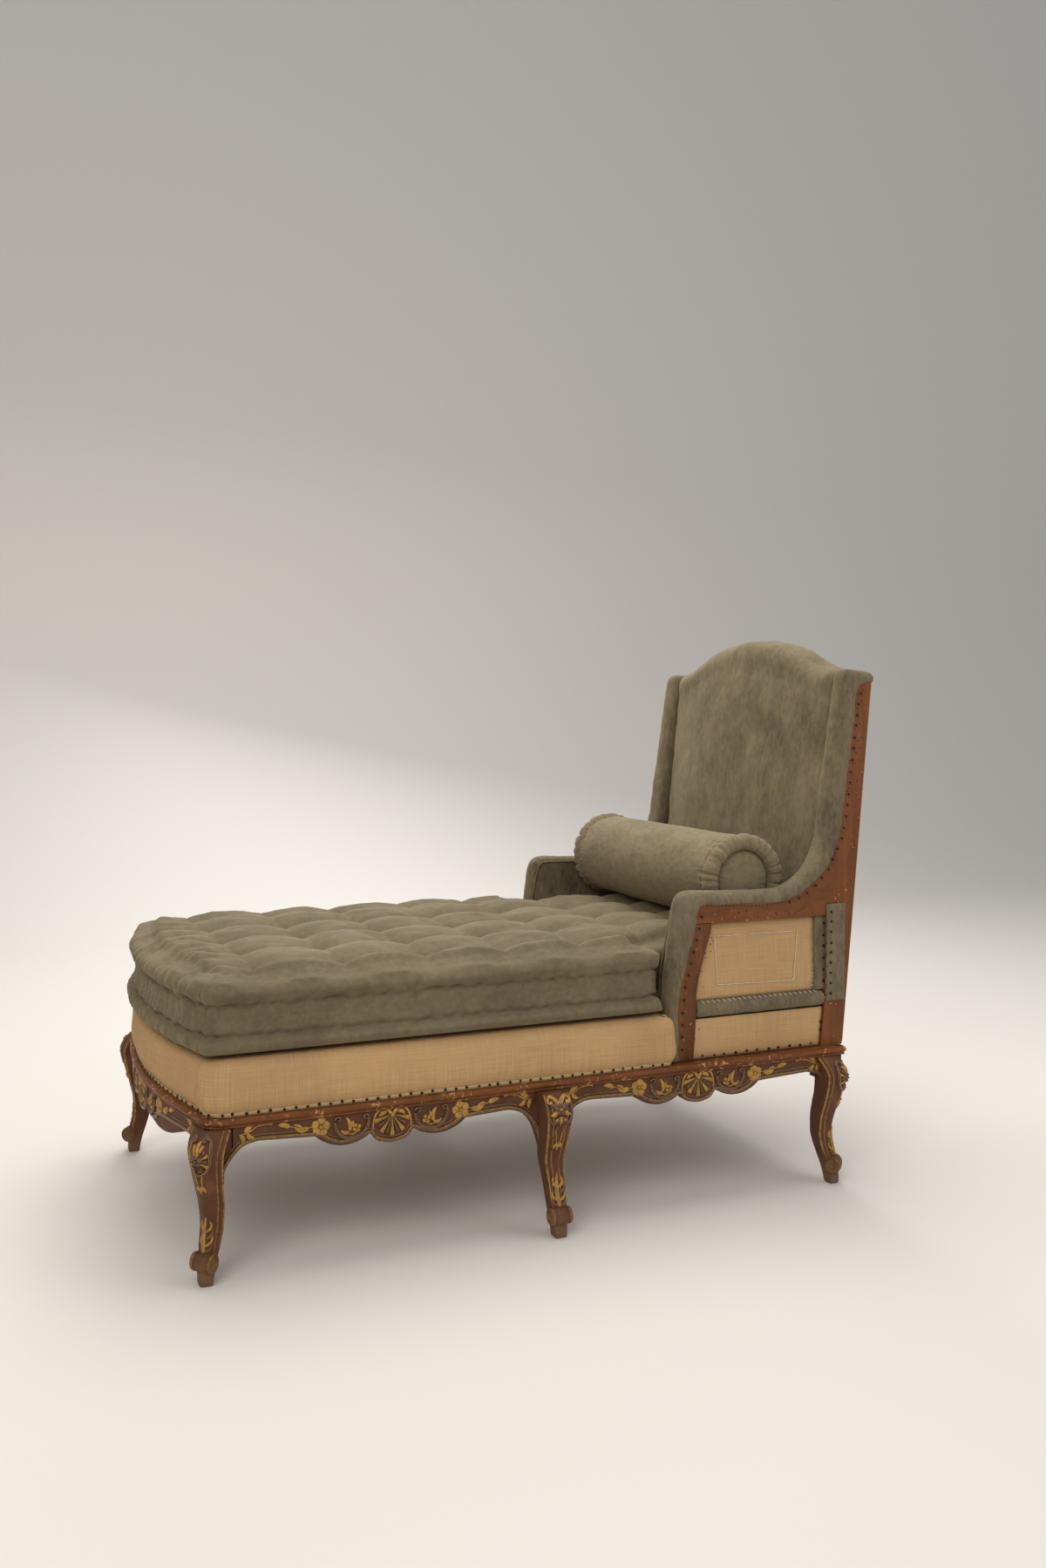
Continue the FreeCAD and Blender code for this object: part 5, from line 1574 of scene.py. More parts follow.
def flute(form, hub, angle, reach, squash, widths, heights, face):
    """One flute of a scallop, from its hub outward. squash holds the shares of its reach across and up."""
    way = np.array((math.cos(angle), math.sin(angle)))
    base = np.array(hub) + way * widths[0]
    tip = np.array(hub) + way * reach * squash
    t = np.linspace(0, 1, widths[4])
    line = base + (tip - base) * t[:, None]
    rise = heights[0] + heights[1] * np.sin(math.pi * t * heights[2])
    ridge(form, line, widths[1] + widths[2] * t ** widths[3], rise, face, 0.35)


def shell(gold, brown, middle, face):
    """A scallop whose flutes open downward from a hub, between two curled horns."""
    cx, cz = middle
    hub = (cx, cz + 0.015)
    for n in range(9):
        long = n % 2 == 0
        widths = (0.004, 0.0009, 0.004 if long else 0.0026, 1.1, 9)
        reach = 0.0335 if long else 0.03
        angle = math.radians(-166 + 19 * n)
        flute(gold if long else brown, hub, angle, reach, (0.98, 1.05), widths, (0.0022, 0.003, 0.8), face)
    horn = (0.002, 0.017), (0.009, 0.0255), (0.02, 0.0265), (0.029, 0.019), (0.0335, 0.006), (0.0345, -0.008)
    for side in (-1, 1):
        points = [(cx + side * a, cz + b) for a, b in horn]
        strap(gold, points, 22, (0.0036, 0.0014), (0.0056, 0.0022), face, 0.2)
        leaves(gold, middle, side, face, (0.01, 0.02, 0.023, 0.013, 0.0034, 0.2, 0.004))
    boss(gold, hub, 0.0042, 0.0058, face)


def scroll_pair(gold, brown, middle, face, facing):
    """A C-scroll open at the top with a sprig inside it. facing is the side that the shell is on."""
    cx, cz = middle
    angles = math.radians(148) + np.linspace(0, 1, 26) * math.radians(250)
    line = np.stack([cx + 0.03 * np.cos(angles), cz + 0.012 + 0.0285 * np.sin(angles)], 1)
    line = line[line[:, 1] < cz + 0.0165]
    widths = 0.003 + 0.0006 * np.sin(math.pi * np.linspace(0, 1, len(line)))
    ridge(brown, line, widths, 0.0048, face, 0.3)
    for side in (-1, 1):
        start = 0 if side > 0 else math.pi
        curl(brown, (cx + side * 0.024, cz + 0.0165), 0.0058, start, side * 4.6, face, 0.0023, 0.005, 0.2)
    leaves(
        gold, middle, facing, face,
        (-0.004, -0.004, -0.01, 0.019, 0.0034, -0.15, 0.0035),
        (-0.005, -0.005, -0.019, -0.001, 0.003, 0.25, 0.0035),
    )
    flower(gold, (cx + facing * 0.009, cz), 0.0078, face, 4, 0.5, 0.0036)
    leaves(gold, middle, facing, face, (0.004, 0.002, 0.003, 0.013, 0.0026, 0.2, 0.0035))
    stem(gold, middle, facing, [(-0.012, -0.006), (0, -0.01), (0.01, -0.006)], 0.0012, face)


def sprig(gold, start, face, facing):
    """A flowering stem that runs away from the scroll: a large flower, a leaf and a bud."""
    flower(gold, start, 0.0165, face, 5, 0.35 + 0.2 * facing)
    stem(gold, start, facing, [(0.015, 0.002), (0.03, 0), (0.05, 0.006), (0.068, 0.008)], 0.0011, face)
    leaves(
        gold, start, facing, face,
        (0.022, 0.001, 0.044, 0.0035, 0.0046, -0.16, 0.0035),
        (0.032, -0.002, 0.047, 0.008, 0.0026, 0.2, 0.003),
        (0.054, 0.006, 0.074, 0.011, 0.0042, 0.12, 0.0035),
    )


def spray(gold, start, face, facing):
    """Four leaves on a stem that comes out of a leg."""
    stem(gold, start, facing, [(0, 0), (0.016, 0.003), (0.034, 0.013), (0.052, 0.012)], 0.0012, face)
    leaves(
        gold, start, facing, face,
        (0.01, 0.002, 0.03, 0.017, 0.0044, 0.14, 0.0035),
        (0.014, 0.001, 0.026, -0.007, 0.0036, -0.2, 0.0035),
        (0.032, 0.012, 0.056, 0.011, 0.0046, 0.22, 0.0035),
        (0.002, -0.001, 0.006, -0.015, 0.0034, 0.2, 0.0035),
    )


def edge_lines(form, line, face, gilt_form):
    """The rounded edge along a carved lower edge, with a fine gilt line above it."""
    line = np.asarray(line)
    ahead = unit(np.gradient(line, axis=0))
    above = np.stack([-ahead[:, 1], ahead[:, 0]], 1)
    above *= np.where(above[:, 1:2] < 0, -1, 1)
    for target, gap, width, height in (
        (form, 0.0036, 0.0038, 0.003),
        (gilt_form, 0.0052, 0.0013, 0.0037),
        (form, 0.0098, 0.0016, 0.0013),
    ):
        ridge(target, line + above * gap, width, height, face)


# The lower edges of the rails: distance along the rail, height
FLARED_CURVE = (
    (-0.006, 0.146), (0.001, 0.17), (0.0085, 0.188), (0.019, 0.2015), (0.033, 0.212), (0.05, 0.218),
    (0.07, 0.2195),
)
CORNER_CURVE = (
    (-0.026, 0.144), (-0.019, 0.16), (-0.011, 0.182), (0.0, 0.198), (0.016, 0.213), (0.042, 0.22),
    (0.06, 0.2195),
)
SHELL_EDGE = (
    (-0.1365, 0.215), (-0.113, 0.2045), (-0.0897, 0.1975), (-0.064, 0.1995),
    (-0.039, 0.209), (-0.028, 0.1965), (-0.0145, 0.1915), (0.0, 0.1895),
)
CUSP = 0.039
EDGE_STEP = 0.0035


def leg_curve(joint, facing, flared):
    """The lower edge from a leg's side to the straight part of a rail. facing points along the rail."""
    return [np.array((joint + a * facing, b)) for a, b in (FLARED_CURVE if flared else CORNER_CURVE)]


def through_corners(line, middle):
    """A smooth line through points that keeps its two cusps beside the shell sharp."""
    cuts = [i for i, (a, _) in enumerate(line) if abs(abs(a - middle) - CUSP) < 1e-6]
    parts = [line[: cuts[0] + 1], line[cuts[0] : cuts[1] + 1], line[cuts[1] :]]
    return [np.array(p) for part in parts for p in through(part, 8 * len(part))]


def apron_line(start, finish, middle):
    """The lower edge of a side rail between two legs, with the brackets that run down into the legs."""
    line = leg_curve(start, 1, abs(start) < 0.1)
    line += [np.array((middle + a, b)) for a, b in SHELL_EDGE]
    line += [np.array((middle - a, b)) for a, b in reversed(SHELL_EDGE[:-1])]
    line += leg_curve(finish, -1, abs(finish) < 0.1)[::-1]
    return evenly(through_corners(line, middle), EDGE_STEP, closed=False)


def end_line(span, lobes):
    """The lower edge of the foot or head rail."""
    line = leg_curve(-span, 1, False)[:-1]
    line += [np.array(p) for p in (SHELL_EDGE if lobes else SHELL_EDGE[4:])]
    line += [np.array((-a, b)) for a, b in reversed(line[:-1])]
    return evenly(through_corners(line, 0.0), EDGE_STEP, closed=False)


SHELL_HEIGHT = 0.2215
SPRIG_HEIGHT = 0.23
SPRAY_HEIGHT = 0.2325


def bay_ornament(gold, brown, middle, face, sprigs, sprays):
    """The ornament of one bay: a shell between scrolls, sprigs beyond them and sprays at the legs."""
    shell(gold, brown, (middle, SHELL_HEIGHT), face)
    for facing, place in zip((-1, 1), sprays):
        scroll_pair(gold, brown, (middle + facing * 0.072, SHELL_HEIGHT), face, -facing)
        if sprigs:
            sprig(gold, (middle + facing * 0.127, SPRIG_HEIGHT), face, facing)
        spray(gold, (place, SPRAY_HEIGHT), face, -facing)


def rail_carving():
    """The relief and the lower edge of the two sides, the foot and the head."""
    rails = []
    for side, sign in SIDES:
        bays = []
        for start, finish in ((-FOOT_JOINT, -MIDDLE_JOINT), (MIDDLE_JOINT, HEAD_JOINT)):
            middle = (start + finish) / 2
            bays.append((middle, True, (start + 0.01, finish - 0.01), apron_line(start, finish, middle)))
        rails.append((side, side_face(sign), bays))
    rails.append(("foot", foot_face, [(0.0, True, (-0.282, 0.282), end_line(END_JOINT, True))]))
    lower = [spot for spot in end_line(END_JOINT, False) if spot[1] > 0.186]
    rails.append(("head", head_face, [(0.0, False, (-0.282, 0.282), lower)]))
    for name, face, bays in rails:
        gold, brown, edge, line = Form(), Form(), Form(), Form()
        for middle, sprigs, sprays, lower in bays:
            bay_ornament(gold, brown, middle, face, sprigs, sprays)
            edge_lines(edge, lower, face, line)
        for kind, form, finish in (
            ("gilt_carving_", gold, "gilt"),
            ("scroll_carving_", brown, "scroll"),
            ("rail_edge_", edge, "scroll"),
            ("rail_edge_line_", line, "edge"),
        ):
            piece(kind + name, form.mesh(kind), finish)


LEG_LEVELS = (
    # height, how far the leg is drawn in, width
    (0.0, 0.0, 0.0205), (0.004, 0.0, 0.0225), (0.018, 0.0015, 0.0245), (0.035, 0.005, 0.0265),
    (0.0504, 0.0095, 0.0285), (0.085, 0.019, 0.031), (0.11, 0.019, 0.0335), (0.1328, 0.016, 0.037),
    (0.177, 0.005, 0.043), (0.212, 0.0, 0.049), (0.23, 0.002, 0.0505), (0.246, 0.006, 0.05),
)
LEG_TOP = 0.2462


class Leg:
    """One cabriole leg: its line, the way it faces and its section at any height."""

    def __init__(self, side, sign, bay, along):
        self.name = f"leg_{side}_{bay}"
        self.middle = along == 0
        self.side = sign
        self.along = along
        reach = 1.0 if self.middle else math.sqrt(0.5)
        self.foot = Vector((along * 0.6195, sign * (0.376 if self.middle else 0.339), 0))
        self.out = Vector((along * reach, sign * reach, 0))
        self.across = Vector((-self.out.y, self.out.x, 0))
        self.border = math.pi / 4 if self.middle else math.pi / 2
        self.levels = np.array(through(LEG_LEVELS, 90))

    def centre(self, z):
        """The middle of the section at a height, and half its width."""
        draw = float(np.interp(z, self.levels[:, 0], self.levels[:, 1]))
        draw += (0.012 if self.middle else 0.014) * max(0.0, (z - 0.205) / 0.041) ** 1.6
        if self.middle:
            draw += 0.016 * float(smooth(0.08, 0.135, z))
        width = float(np.interp(z, self.levels[:, 0], self.levels[:, 2]))
        return self.foot - self.out * draw, width / 2

    def reach(self, turn, half):
        """The distance from the middle to the surface in one direction."""
        base = turn if self.middle else turn + math.pi / 4
        away = min(abs(turn), 2 * math.pi - abs(turn))
        power = 9.0 if self.middle else 3.3 + 6.0 * float(smooth(0.6, 1.3, away))
        return half / (abs(math.cos(base)) ** power + abs(math.sin(base)) ** power) ** (1 / power)

    def spot(self, turn, z, lift=0.0):
        """A place on the surface, by its direction and height, lifted off it."""
        centre, half = self.centre(z)
        reach = self.reach(turn, half) + lift
        way = self.out * math.cos(turn) + self.across * math.sin(turn)
        return at(centre.x + way.x * reach, centre.y + way.y * reach, z)

    def face(self, a, b, h):
        """A place on the front of the leg, a across and b up."""
        _, half = self.centre(b)
        turn = math.atan2(a, half) if self.middle else a / (half * 1.12)
        return self.spot(turn, b, h)


BLOCK_CORNERS = (
    (0.003, 0.001), (0.043, 0.001), (0.045, 0.003), (0.045, 0.043),
    (0.043, 0.045), (0.003, 0.045), (0.001, 0.043), (0.001, 0.003),
)


def leg_body(leg):
    """The shank with a gilt-edged ridge down each side, its block, and the scroll of its foot."""
    form = Form()
    ways = set(np.round(np.linspace(-math.pi, math.pi, 60, endpoint=False), 5))
    for sign in (-1, 1):
        ways |= set(np.round(np.linspace(leg.border - 0.42, leg.border + 0.2, 18) * sign, 5))
    rows = []
    marks = []
    for z in np.linspace(0.0, LEG_TOP, 100):
        row = []
        mark = []
        _, half = leg.centre(z)
        shown = float(smooth(0.045, 0.075, z))
        for turn in sorted(ways):
            d = (abs(turn) - leg.border) * leg.reach(leg.border, half)
            lift = 0.0021 * hump(d, 0.0021) - 0.0016 * hump(d + 0.0052, 0.0018)
            lift += 0.0007 * hump(d + 0.0088, 0.0014)
            worn = uneven(turn * 4, z * 60, leg.along + leg.side * 3) * 0.0004
            row.append(leg.spot(turn, z, lift * shown + worn))
            mark.append(shown * float(max(hump(d, 0.0015), 0.6 * hump(d + 0.0088, 0.0012))))
        rows.append(row)
        marks.append(mark)
    form.rows(rows, marks)
    head = HEAD_FACE if leg.along > 0 else 0.62
    x_low = -MIDDLE_JOINT if leg.middle else (head - 0.046 if leg.along > 0 else -head)
    y_low = END_JOINT if leg.side > 0 else -RAIL_FACE
    form.rows([[at(x_low + x, y_low + y, z) for x, y in BLOCK_CORNERS] for z in (0.1985, LEG_TOP)])
    brackets(leg, form)
    scroll_foot(form, leg)
    return form


def scroll_foot(form, leg):
    """The rolled toe: a tongue over the front between two spiral discs."""
    middle = leg.foot + leg.out * 0.003
    half = (0.004, 0.008, 0.0105, 0.0118, 0.0135, 0.0165, 0.0188)
    profile = [(-1, r) for r in np.linspace(0.0012, 0.014, 13)]
    profile += [(0, across) for across in [-a for a in reversed(half)] + [0.0] + list(half)]
    profile += [(1, r) for r in np.linspace(0.014, 0.0012, 13)]
    rows = []
    marks = []
    for side, value in profile:
        row = []
        mark = []
        for turn in turns(40):
            if side:
                radius = value
                swirl = math.cos(2 * math.pi * radius / 0.0044 - turn)
                across = 0.0192 + 0.0013 * swirl * smooth(0.0, 0.003, radius)
                across = side * (across - 0.0008 * smooth(0.012, 0.014, radius))
                gold = 0.8 * max(0.0, swirl) ** 3
            else:
                across = value
                edge = abs(across)
                radius = 0.015 - 0.0022 * hump(edge - 0.0118, 0.0012) - 0.0008 * smooth(0.017, 0.0188, edge)
                radius += 0.0008 * (edge < 0.009)
                gold = 0.5 * hump(edge - 0.0165, 0.001)
            place = middle + leg.out * float(radius * math.cos(turn)) + leg.across * float(across)
            row.append(at(place.x, place.y, 0.0365 + radius * math.sin(turn)))
            mark.append(float(gold))
        rows.append(row)
        marks.append(mark)
    form.rows(rows, marks)


def acanthus(gold, brown, face):
    """The leaf that climbs the ankle from the scroll."""
    leaf(gold, (0.0, 0.052), (0.001, 0.108), 0.0036, face, 0.06, 0.0036, 0.35, 14)
    lobes = (0.054, 0.0118, 0.068), (0.063, 0.0112, 0.08), (0.073, 0.0095, 0.092), (0.084, 0.007, 0.102)
    for side in (-1, 1):
        for n, (low, out, high) in enumerate(lobes):
            target = gold if n % 2 else brown
            leaf(target, (side * 0.0012, low), (side * out, high), 0.002, face, -0.25 * side, 0.0031, 0.35)


def knee_drop(gold, brown, face):
    """The stems and the bell flower that hang under a knee."""
    drop = (0.008, 0.187), (0.005, 0.176), (0.0035, 0.165), (0.0, 0.158)
    for side in (-1, 1):
        curl(brown, (side * 0.008, 0.1905), 0.0034, math.pi / 2, side * 4.2, face, 0.0018, 0.0034)
        stem(gold, (0, 0), side, drop, 0.0011, face)
    boss(brown, (0.0, 0.163), 0.003, 0.0036, face)
    for side in (-1, 0, 1):
        tip = (side * 0.0066, 0.1515 if side else 0.148)
        leaf(gold, (0.0, 0.161), tip, 0.0027, face, 0.2 * side, 0.0034)


def corner_knee(gold, brown, face):
    """The shell in its frame on the knee of a corner leg."""
    hub = (0.0, 0.2065)
    for n in range(11):
        long = n % 2 == 0
        reach = 0.0225 if long else 0.019
        angle = math.radians(-28 + 23.6 * n)
        widths = (0.005, 0.0007, 0.0026, 1, 8)
        flute(gold if long else brown, hub, angle, reach, (0.92, 1.12), widths, (0.0018, 0.0022, 0.85), face)
    border = [(0.01, 0.2405), (0.0205, 0.233), (0.0245, 0.217)]
    border += [(0.0225, 0.201), (0.014, 0.1875), (0.003, 0.181)]
    for side in (-1, 1):
        points = [(side * a, b) for a, b in border]
        line = strap(brown, points, 26, (0.003, 0.0018), (0.0044, 0.0028), face, 0.3)
        ridge(gold, np.array(line) * (0.86, 1.0) + (0, 0.0008), 0.0009, 0.003, face)
        start = math.pi * (0.1 if side > 0 else 0.9)
        curl(brown, (side * 0.0095, 0.2365), 0.0052, start, side * 4.4, face, 0.0024, 0.005)
    flower(brown, hub, 0.0095, face, 5, math.pi / 2, 0.0056)
    leaf(gold, (0.001, 0.214), (0.004, 0.236), 0.0038, face, 0.12, 0.0048)
    flower(brown, (0.0, 0.187), 0.0072, face, 3, -math.pi / 2, 0.0044)
    knee_drop(gold, brown, face)


def middle_knee(gold, brown, face):
    """The flower between curled leaves on the knee of a middle leg."""
    border = (0.0235, 0.235), (0.0225, 0.218), (0.0185, 0.204), (0.011, 0.196)
    for side in (-1, 1):
        start = math.pi * (0.95 if side > 0 else 0.05)
        curl(gold, (side * 0.015, 0.2365), 0.0082, start, -side * 5.0, face, 0.003, 0.0055)
        ridge(brown, through([(side * a, b) for a, b in border], 16), 0.0024, 0.0036, face, 0.25)
        leaves(
            gold, (0, 0), side, face,
            (0.002, 0.23, 0.0125, 0.242, 0.0036, 0.15, 0.0048),
            (0.006, 0.221, 0.019, 0.215, 0.0034, -0.15, 0.0046),
        )
        leaves(brown, (0, 0), side, face, (0.005, 0.226, 0.018, 0.229, 0.0032, 0.2, 0.0044))
        curl(brown, (side * 0.0075, 0.2035), 0.0055, math.pi / 2, side * 4.4, face, 0.0022, 0.0042)
        leaves(gold, (0, 0), side, face, (0.002, 0.208, 0.0105, 0.199, 0.0026, 0.2, 0.004))
    flower(brown, (0.0, 0.224), 0.0105, face, 5, math.pi / 2, 0.0058)
    boss(gold, (0.0, 0.224), 0.0028, 0.0072, face)
    leaf(gold, (0.0, 0.212), (0.0, 0.196), 0.003, face, 0.0, 0.0044)
    knee_drop(gold, brown, face)


def bracket(form, face, joint, facing, flared=False, low=0.14):
    """The curved corner between a leg and a rail. facing points along the rail."""
    line = through(leg_curve(0.0, 1, flared), 18)
    line = [tuple(p) for p in line if (flared or p[0] < -0.001) and p[1] > low]
    outline = [(-0.04, 0.2461), (line[-1][0], 0.2461)] + line[::-1] + [(-0.03, low), (-0.04, low + 0.01)]
    depths = (0.0008, -0.013) if flared else (0.0, -0.027)
    form.rows([[face(joint + a * facing, b, depth) for a, b in outline] for depth in depths])


def brackets(leg, form):
    """The brackets of one leg."""
    side = side_face(leg.side)
    if leg.middle:
        for facing in (-1, 1):
            bracket(form, side, facing * MIDDLE_JOINT, facing, True)
    elif leg.along > 0:
        bracket(form, side, HEAD_JOINT, -1)
        bracket(form, head_face, leg.side * END_JOINT, -leg.side, low=0.182)
    else:
        bracket(form, side, -FOOT_JOINT, 1)
        bracket(form, foot_face, leg.side * END_JOINT, -leg.side)


def legs():
    """The six legs, each with its carving in gold and in brown."""
    for side, sign in SIDES:
        for bay, along in (("foot", -1), ("middle", 0), ("head", 1)):
            leg = Leg(side, sign, bay, along)
            piece(leg.name + "_carved", leg_body(leg).mesh(leg.name), "painted", replaces=[leg.name])
            gold, brown = Form(), Form()
            knee = middle_knee if leg.middle else corner_knee
            knee(gold, brown, leg.face)
            acanthus(gold, brown, leg.face)
            piece(leg.name + "_gilding", gold.mesh("gold"), "gilt")
            piece(leg.name + "_scrolls", brown.mesh("brown"), "scroll")


# Tacks, holes and threads


def ring(middle, across, up, radius, count):
    """Points round a circle, given by its middle and two directions."""
    return [middle + (across * math.cos(t) + up * math.sin(t)) * radius for t in turns(count)]


def dome(form, spot, normal, radius, height, sides=8):
    """A tack's head, its rim sunk a little into what it holds."""
    normal = Vector(normal).normalized()
    across = normal.orthogonal().normalized()
    up = normal.cross(across)
    rows = []
    for share, lift in ((0.9, -0.4), (1.0, 0.1), (0.85, 0.6), (0.5, 0.95), (0.12, 1.05)):
        rows.append(ring(spot + normal * height * lift, across, up, radius * share, sides))
    form.rows(rows)


def tacks_along(form, line, spacing, place, normal, loose):
    """Tacks at even steps along a line of two numbers, a little out of line as they are driven by hand."""
    line = np.asarray(line, dtype=float)
    steps = run_of(line)
    count = max(2, int(steps[-1] / spacing))
    radius = bpy.context.scene.chaise_sizes.tack_radius
    for n in range(count):
        mark = (n + 0.5) / count * steps[-1] + loose.uniform(-0.0016, 0.0016)
        a, b = (float(np.interp(mark, steps, line[:, i])) + loose.uniform(-0.0007, 0.0007) for i in (0, 1))
        dome(form, place(a, b), normal, radius * loose.uniform(0.86, 1.08), 0.0014)


WING_EDGE = (
    (0.334, 0.549), (0.438, 0.543), (0.478, 0.542), (0.519, 0.546), (0.56, 0.558), (0.591, 0.578),
    (0.62, 0.605),
    (0.632, 0.629), (0.652, 0.662), (0.663, 0.705), (0.673, 0.774), (0.684, 0.86), (0.695, 0.929),
    (0.701, 0.966),
)
STUMP_EDGE = (0.331, 0.544), (0.322, 0.505), (0.308, 0.459), (0.293, 0.404), (0.2862, 0.36), (0.2845, 0.277)


def seat_tacks():
    """The row of tacks round the foot of the deck canvas."""
    loose = random.Random(7)
    sizes = bpy.context.scene.chaise_sizes
    form = Form()
    line = evenly(plan(0.3365, 0.6585, 0.045, 0.2525), 0.004, closed=False)[2:-2]
    around = outward(line, closed=False)
    steps = run_of(line)
    count = int(steps[-1] / sizes.tack_spacing)
    for n in range(count):
        mark = (n + 0.5) / count * steps[-1] + loose.uniform(-0.0018, 0.0018)
        i = int(np.argmin(np.abs(steps - mark)))
        (x, y), (ox, oy) = line[i], around[i]
        spot = at(x + ox * 0.0003, y + oy * 0.0003, 0.2668 + loose.uniform(-0.0008, 0.0008))
        dome(form, spot, (ox, oy, 0.25), sizes.tack_radius * loose.uniform(0.86, 1.08), 0.0015)
    piece("deck_tacks", form.mesh("deck_tacks"), "tack")


def arm_tacks(side, sign):
    """The tacks and dark stitches of one arm, and the old holes in its bare wood."""
    loose = random.Random(19 + sign)
    form = Form()
    out = (0, sign, 0)

    def on(y_out):
        return lambda a, b: at(a, sign * y_out, b)

    tacks_along(form, WING_EDGE[3:], 0.0215, on(0.328), out, loose)
    for x in np.arange(0.338, 0.54, 0.0085):
        z = float(np.interp(x, *zip(*WING_EDGE))) + 0.0035
        stitch(form, on(0.3275)(x, z), on(0.3275)(x + 0.0038, z + 0.0018), 0.0008)
    for line, spacing, y_out in (
        (STUMP_EDGE, 0.0215, 0.328),
        ([(0.322, 0.2685), (0.596, 0.2685)], 0.024, 0.3205),
        ([(front(0.3) - 0.004, 0.285), (front(0.33) - 0.004, 0.318)], 0.02, 0.3215),
        ([(front(0.35) + 0.012, 0.356), (front(0.54) - 0.006, 0.534)], 0.0195, 0.3276),
        ([(front(0.37) - 0.001, 0.378), (front(0.518) - 0.016, 0.512)], 0.0195, 0.319),
    ):
        tacks_along(form, line, spacing, on(y_out), out, loose)
    piece("arm_tacks_" + side, form.mesh("arm_tacks"), "tack")
    holes = Form()
    spots = []
    for _ in range(42):
        z = loose.uniform(0.3, 0.96)
        spots.append((rear(z) - loose.uniform(0.005, 0.036), z))
    for _ in range(16):
        spots.append((loose.uniform(0.36, 0.6), loose.uniform(0.523, 0.538)))
    for _ in range(14):
        z = loose.uniform(0.285, 0.5)
        spots.append((0.3 + 0.22 * max(0.0, z - 0.3) + loose.uniform(0.002, 0.022), z))
    for a, b in spots:
        under_strips = 0.345 < b < 0.545 and a > 0.612
        if not under_strips:
            dome(holes, on(0.324)(a, b), out, loose.uniform(0.001, 0.0019), 0.0003, 6)
    piece("tack_holes_" + side, holes.mesh("holes"), "hole")


def stitch(form, start, finish, radius=0.0006):
    """One visible length of thread, sunk at both ends."""
    ahead = (finish - start).normalized()
    across = ahead.orthogonal().normalized()
    up = ahead.cross(across)
    rows = []
    for share, thick in ((0, 0.35), (0.12, 1), (0.5, 1.15), (0.88, 1), (1, 0.35)):
        rows.append(ring(start + (finish - start) * share, across, up, radius * thick, 6))
    form.rows(rows)


def arm_threads(side, sign):
    """The loose white basting on the arm canvas and the whip stitches along the liner roll."""
    loose = random.Random(31 + sign)
    form = Form()

    def on(x, z, y_out=0.3152):
        return at(x, sign * y_out, z)

    def basting(a, b, gaps, slack=0.0008):
        a, b = np.array(a), np.array(b)
        share = 0.0
        span = float(np.hypot(*(b - a)))
        while share < 0.995:
            step = min(loose.uniform(0.01, 0.022) / span, 1 - share)
            near, far = a + (b - a) * share, a + (b - a) * (share + step)
            near = near + (loose.uniform(-slack, slack), loose.uniform(-slack, slack))
            if loose.random() > gaps:
                stitch(form, on(*near), on(*far), 0.0007)
            share += step

    corners = (0.3655, 0.4915), (0.372, 0.399), (0.548, 0.3945), (0.556, 0.49)
    for n, gaps in enumerate((0.02, 0.05, 0.02, 0.45)):
        basting(corners[n], corners[(n + 1) % 4], gaps)
    for n in range(5):
        knot = on(0.547 + loose.uniform(-0.003, 0.003), 0.396 + loose.uniform(-0.003, 0.003))
        dome(form, knot, (0, sign, 0), 0.0011, 0.0011, 6)
    z = 0.379
    while z < 0.512:
        x = 0.5905 + (z - 0.379) * 0.1
        stitch(form, on(x, z), on(x + 0.0012, z + 0.0042), 0.0007)
        stitch(form, on(x + 0.0035, z + 0.001), on(x + 0.0022, z + 0.0048), 0.0005)
        z += 0.0078
    x = 0.334
    while x < 0.6:
        stitch(form, on(x, 0.3715, 0.317), on(x + 0.004, 0.368, 0.3215))
        x += 0.0118
    piece("basting_" + side, form.mesh("basting"), "thread")


# Operators


class ChaiseFinishes(bpy.types.Operator):
    """Makes every finish from the panel's colours"""

    bl_idname = "chaise.finishes"
    bl_label = "Finishes"

    def execute(self, context):
        make_finishes()
        return {"FINISHED"}


class ChaiseSeatFrame(bpy.types.Operator):
    """Gives the timber of the seat, arms and back its grain"""

    bl_idname = "chaise.seat_frame"
    bl_label = "Timber frame"

    def execute(self, context):
        dress("painted", "head_rail", "foot_rail", *SIDE_RAILS)
        dress("inner_wood", "cross_rail", "corner_blocks", "lower_back_rail", "crest_rail")
        dress("inner_wood", *both("arm_liner_rail"))
        dress("upright_wood", *both("rear_post"))
        dress("level_wood", *both("arm_rail"))
        dress("spring", "seat_springs")
        return {"FINISHED"}


class ChaiseMoulding(bpy.types.Operator):
    """Sweeps the moulding round the top of the rails"""

    bl_idname = "chaise.moulding"
    bl_label = "Rail moulding"

    def execute(self, context):
        rail_moulding()
        return {"FINISHED"}


class ChaiseLegs(bpy.types.Operator):
    """Shapes and carves the six cabriole legs"""

    bl_idname = "chaise.legs"
    bl_label = "Legs"

    def execute(self, context):
        legs()
        return {"FINISHED"}


class ChaiseCarving(bpy.types.Operator):
    """Carves the shells, flowers, scrolls and edges of the rails"""

    bl_idname = "chaise.carving"
    bl_label = "Rail carving"

    def execute(self, context):
        rail_carving()
        return {"FINISHED"}


class ChaiseSpringing(bpy.types.Operator):
    """Weaves the webbing and lays the stuffing over the springs"""

    bl_idname = "chaise.springing"
    bl_label = "Springing"

    def execute(self, context):
        seat_webbing()
        hidden_layers()
        return {"FINISHED"}


class ChaiseDeck(bpy.types.Operator):
    """Stretches the deck canvas over the seat"""

    bl_idname = "chaise.deck"
    bl_label = "Deck canvas"

    def execute(self, context):
        deck_canvas()
        selvage()
        return {"FINISHED"}


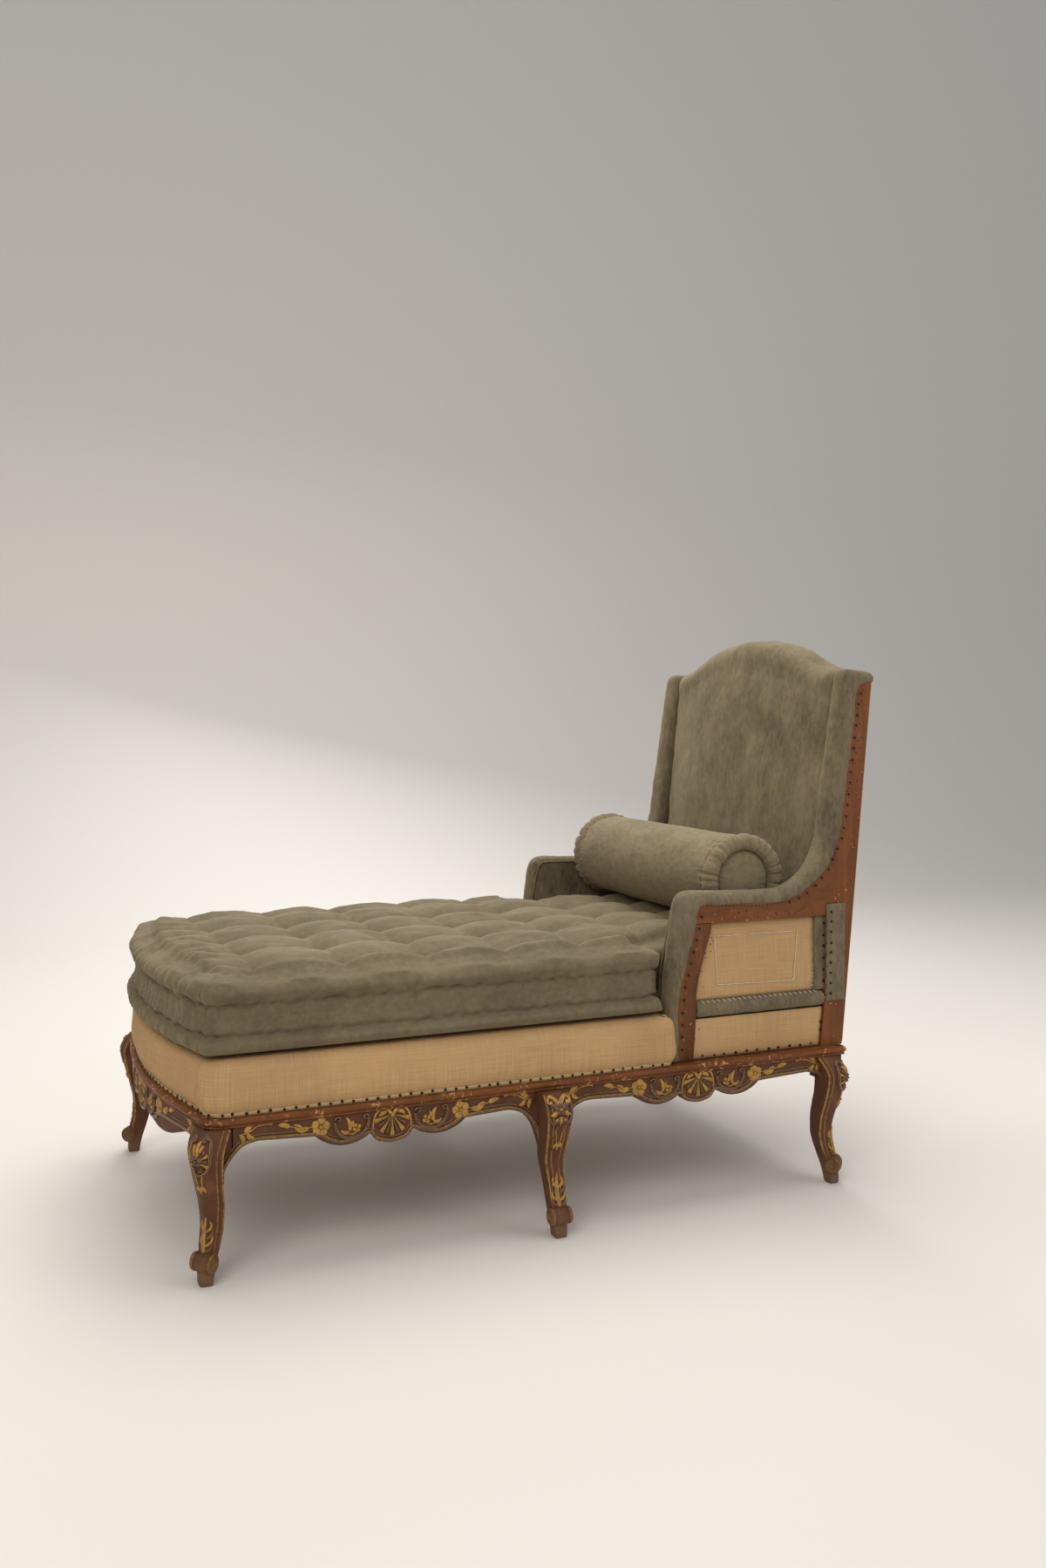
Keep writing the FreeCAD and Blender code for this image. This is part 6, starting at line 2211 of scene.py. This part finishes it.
class ChaiseArms(bpy.types.Operator):
    """Covers the arms with velvet and canvas"""

    bl_idname = "chaise.arms"
    bl_label = "Arms"

    def execute(self, context):
        for side, sign in SIDES:
            arm_stump(side, sign)
            arm_velvet(side, sign)
            arm_piping(side, sign)
            inside_arm(side, sign)
            liner_roll(side, sign)
            arm_canvases(side, sign)
        return {"FINISHED"}


class ChaiseTacks(bpy.types.Operator):
    """Drives the tacks and sews the loose threads"""

    bl_idname = "chaise.tacks"
    bl_label = "Tacks and threads"

    def execute(self, context):
        seat_tacks()
        for side, sign in SIDES:
            arm_tacks(side, sign)
            arm_threads(side, sign)
        return {"FINISHED"}


class ChaiseBack(bpy.types.Operator):
    """Pads the back and covers it inside and out"""

    bl_idname = "chaise.back"
    bl_label = "Back"

    def execute(self, context):
        back_velvet()
        back_canvas()
        back_tacks()
        back_webs()
        return {"FINISHED"}


class ChaiseMattress(bpy.types.Operator):
    """Tufts and gathers the loose mattress"""

    bl_idname = "chaise.mattress"
    bl_label = "Mattress"

    def execute(self, context):
        mattress()
        return {"FINISHED"}


class ChaiseBolster(bpy.types.Operator):
    """Gathers the loose bolster at its ends"""

    bl_idname = "chaise.bolster"
    bl_label = "Bolster"

    def execute(self, context):
        bolster()
        return {"FINISHED"}


class ChaiseStage(bpy.types.Operator):
    """Sets the pale floor, the lamps and the camera"""

    bl_idname = "chaise.stage"
    bl_label = "Stage"

    def execute(self, context):
        make_stage()
        make_camera()
        return {"FINISHED"}


OPERATORS = (
    ChaiseFinishes,
    ChaiseSeatFrame,
    ChaiseMoulding,
    ChaiseLegs,
    ChaiseCarving,
    ChaiseSpringing,
    ChaiseDeck,
    ChaiseArms,
    ChaiseTacks,
    ChaiseBack,
    ChaiseMattress,
    ChaiseBolster,
    ChaiseStage,
)


class ChaisePanel(bpy.types.Panel):
    """Lists the pieces of the chaise longue, their sizes and their colours"""

    bl_idname = "VIEW3D_PT_chaise"
    bl_label = "Chaise Longue"
    bl_space_type = "VIEW_3D"
    bl_region_type = "UI"
    bl_category = "Chaise"

    def draw(self, context):
        for group in (context.scene.chaise_sizes, context.scene.chaise_colours):
            for name in group.__annotations__:
                self.layout.prop(group, name)
        for operator in OPERATORS:
            self.layout.operator(operator.bl_idname)


CLASSES = (ChaiseSizes, ChaiseColours, *OPERATORS, ChaisePanel)


def register():
    for made in CLASSES:
        bpy.utils.register_class(made)
    bpy.types.Scene.chaise_sizes = PointerProperty(type=ChaiseSizes)
    bpy.types.Scene.chaise_colours = PointerProperty(type=ChaiseColours)


def unregister():
    del bpy.types.Scene.chaise_colours
    del bpy.types.Scene.chaise_sizes
    for made in reversed(CLASSES):
        bpy.utils.unregister_class(made)


def main():
    register()
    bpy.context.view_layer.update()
    for operator in OPERATORS:
        getattr(bpy.ops.chaise, operator.bl_idname.split(".")[1])()


if __name__ == "__main__":
    main()
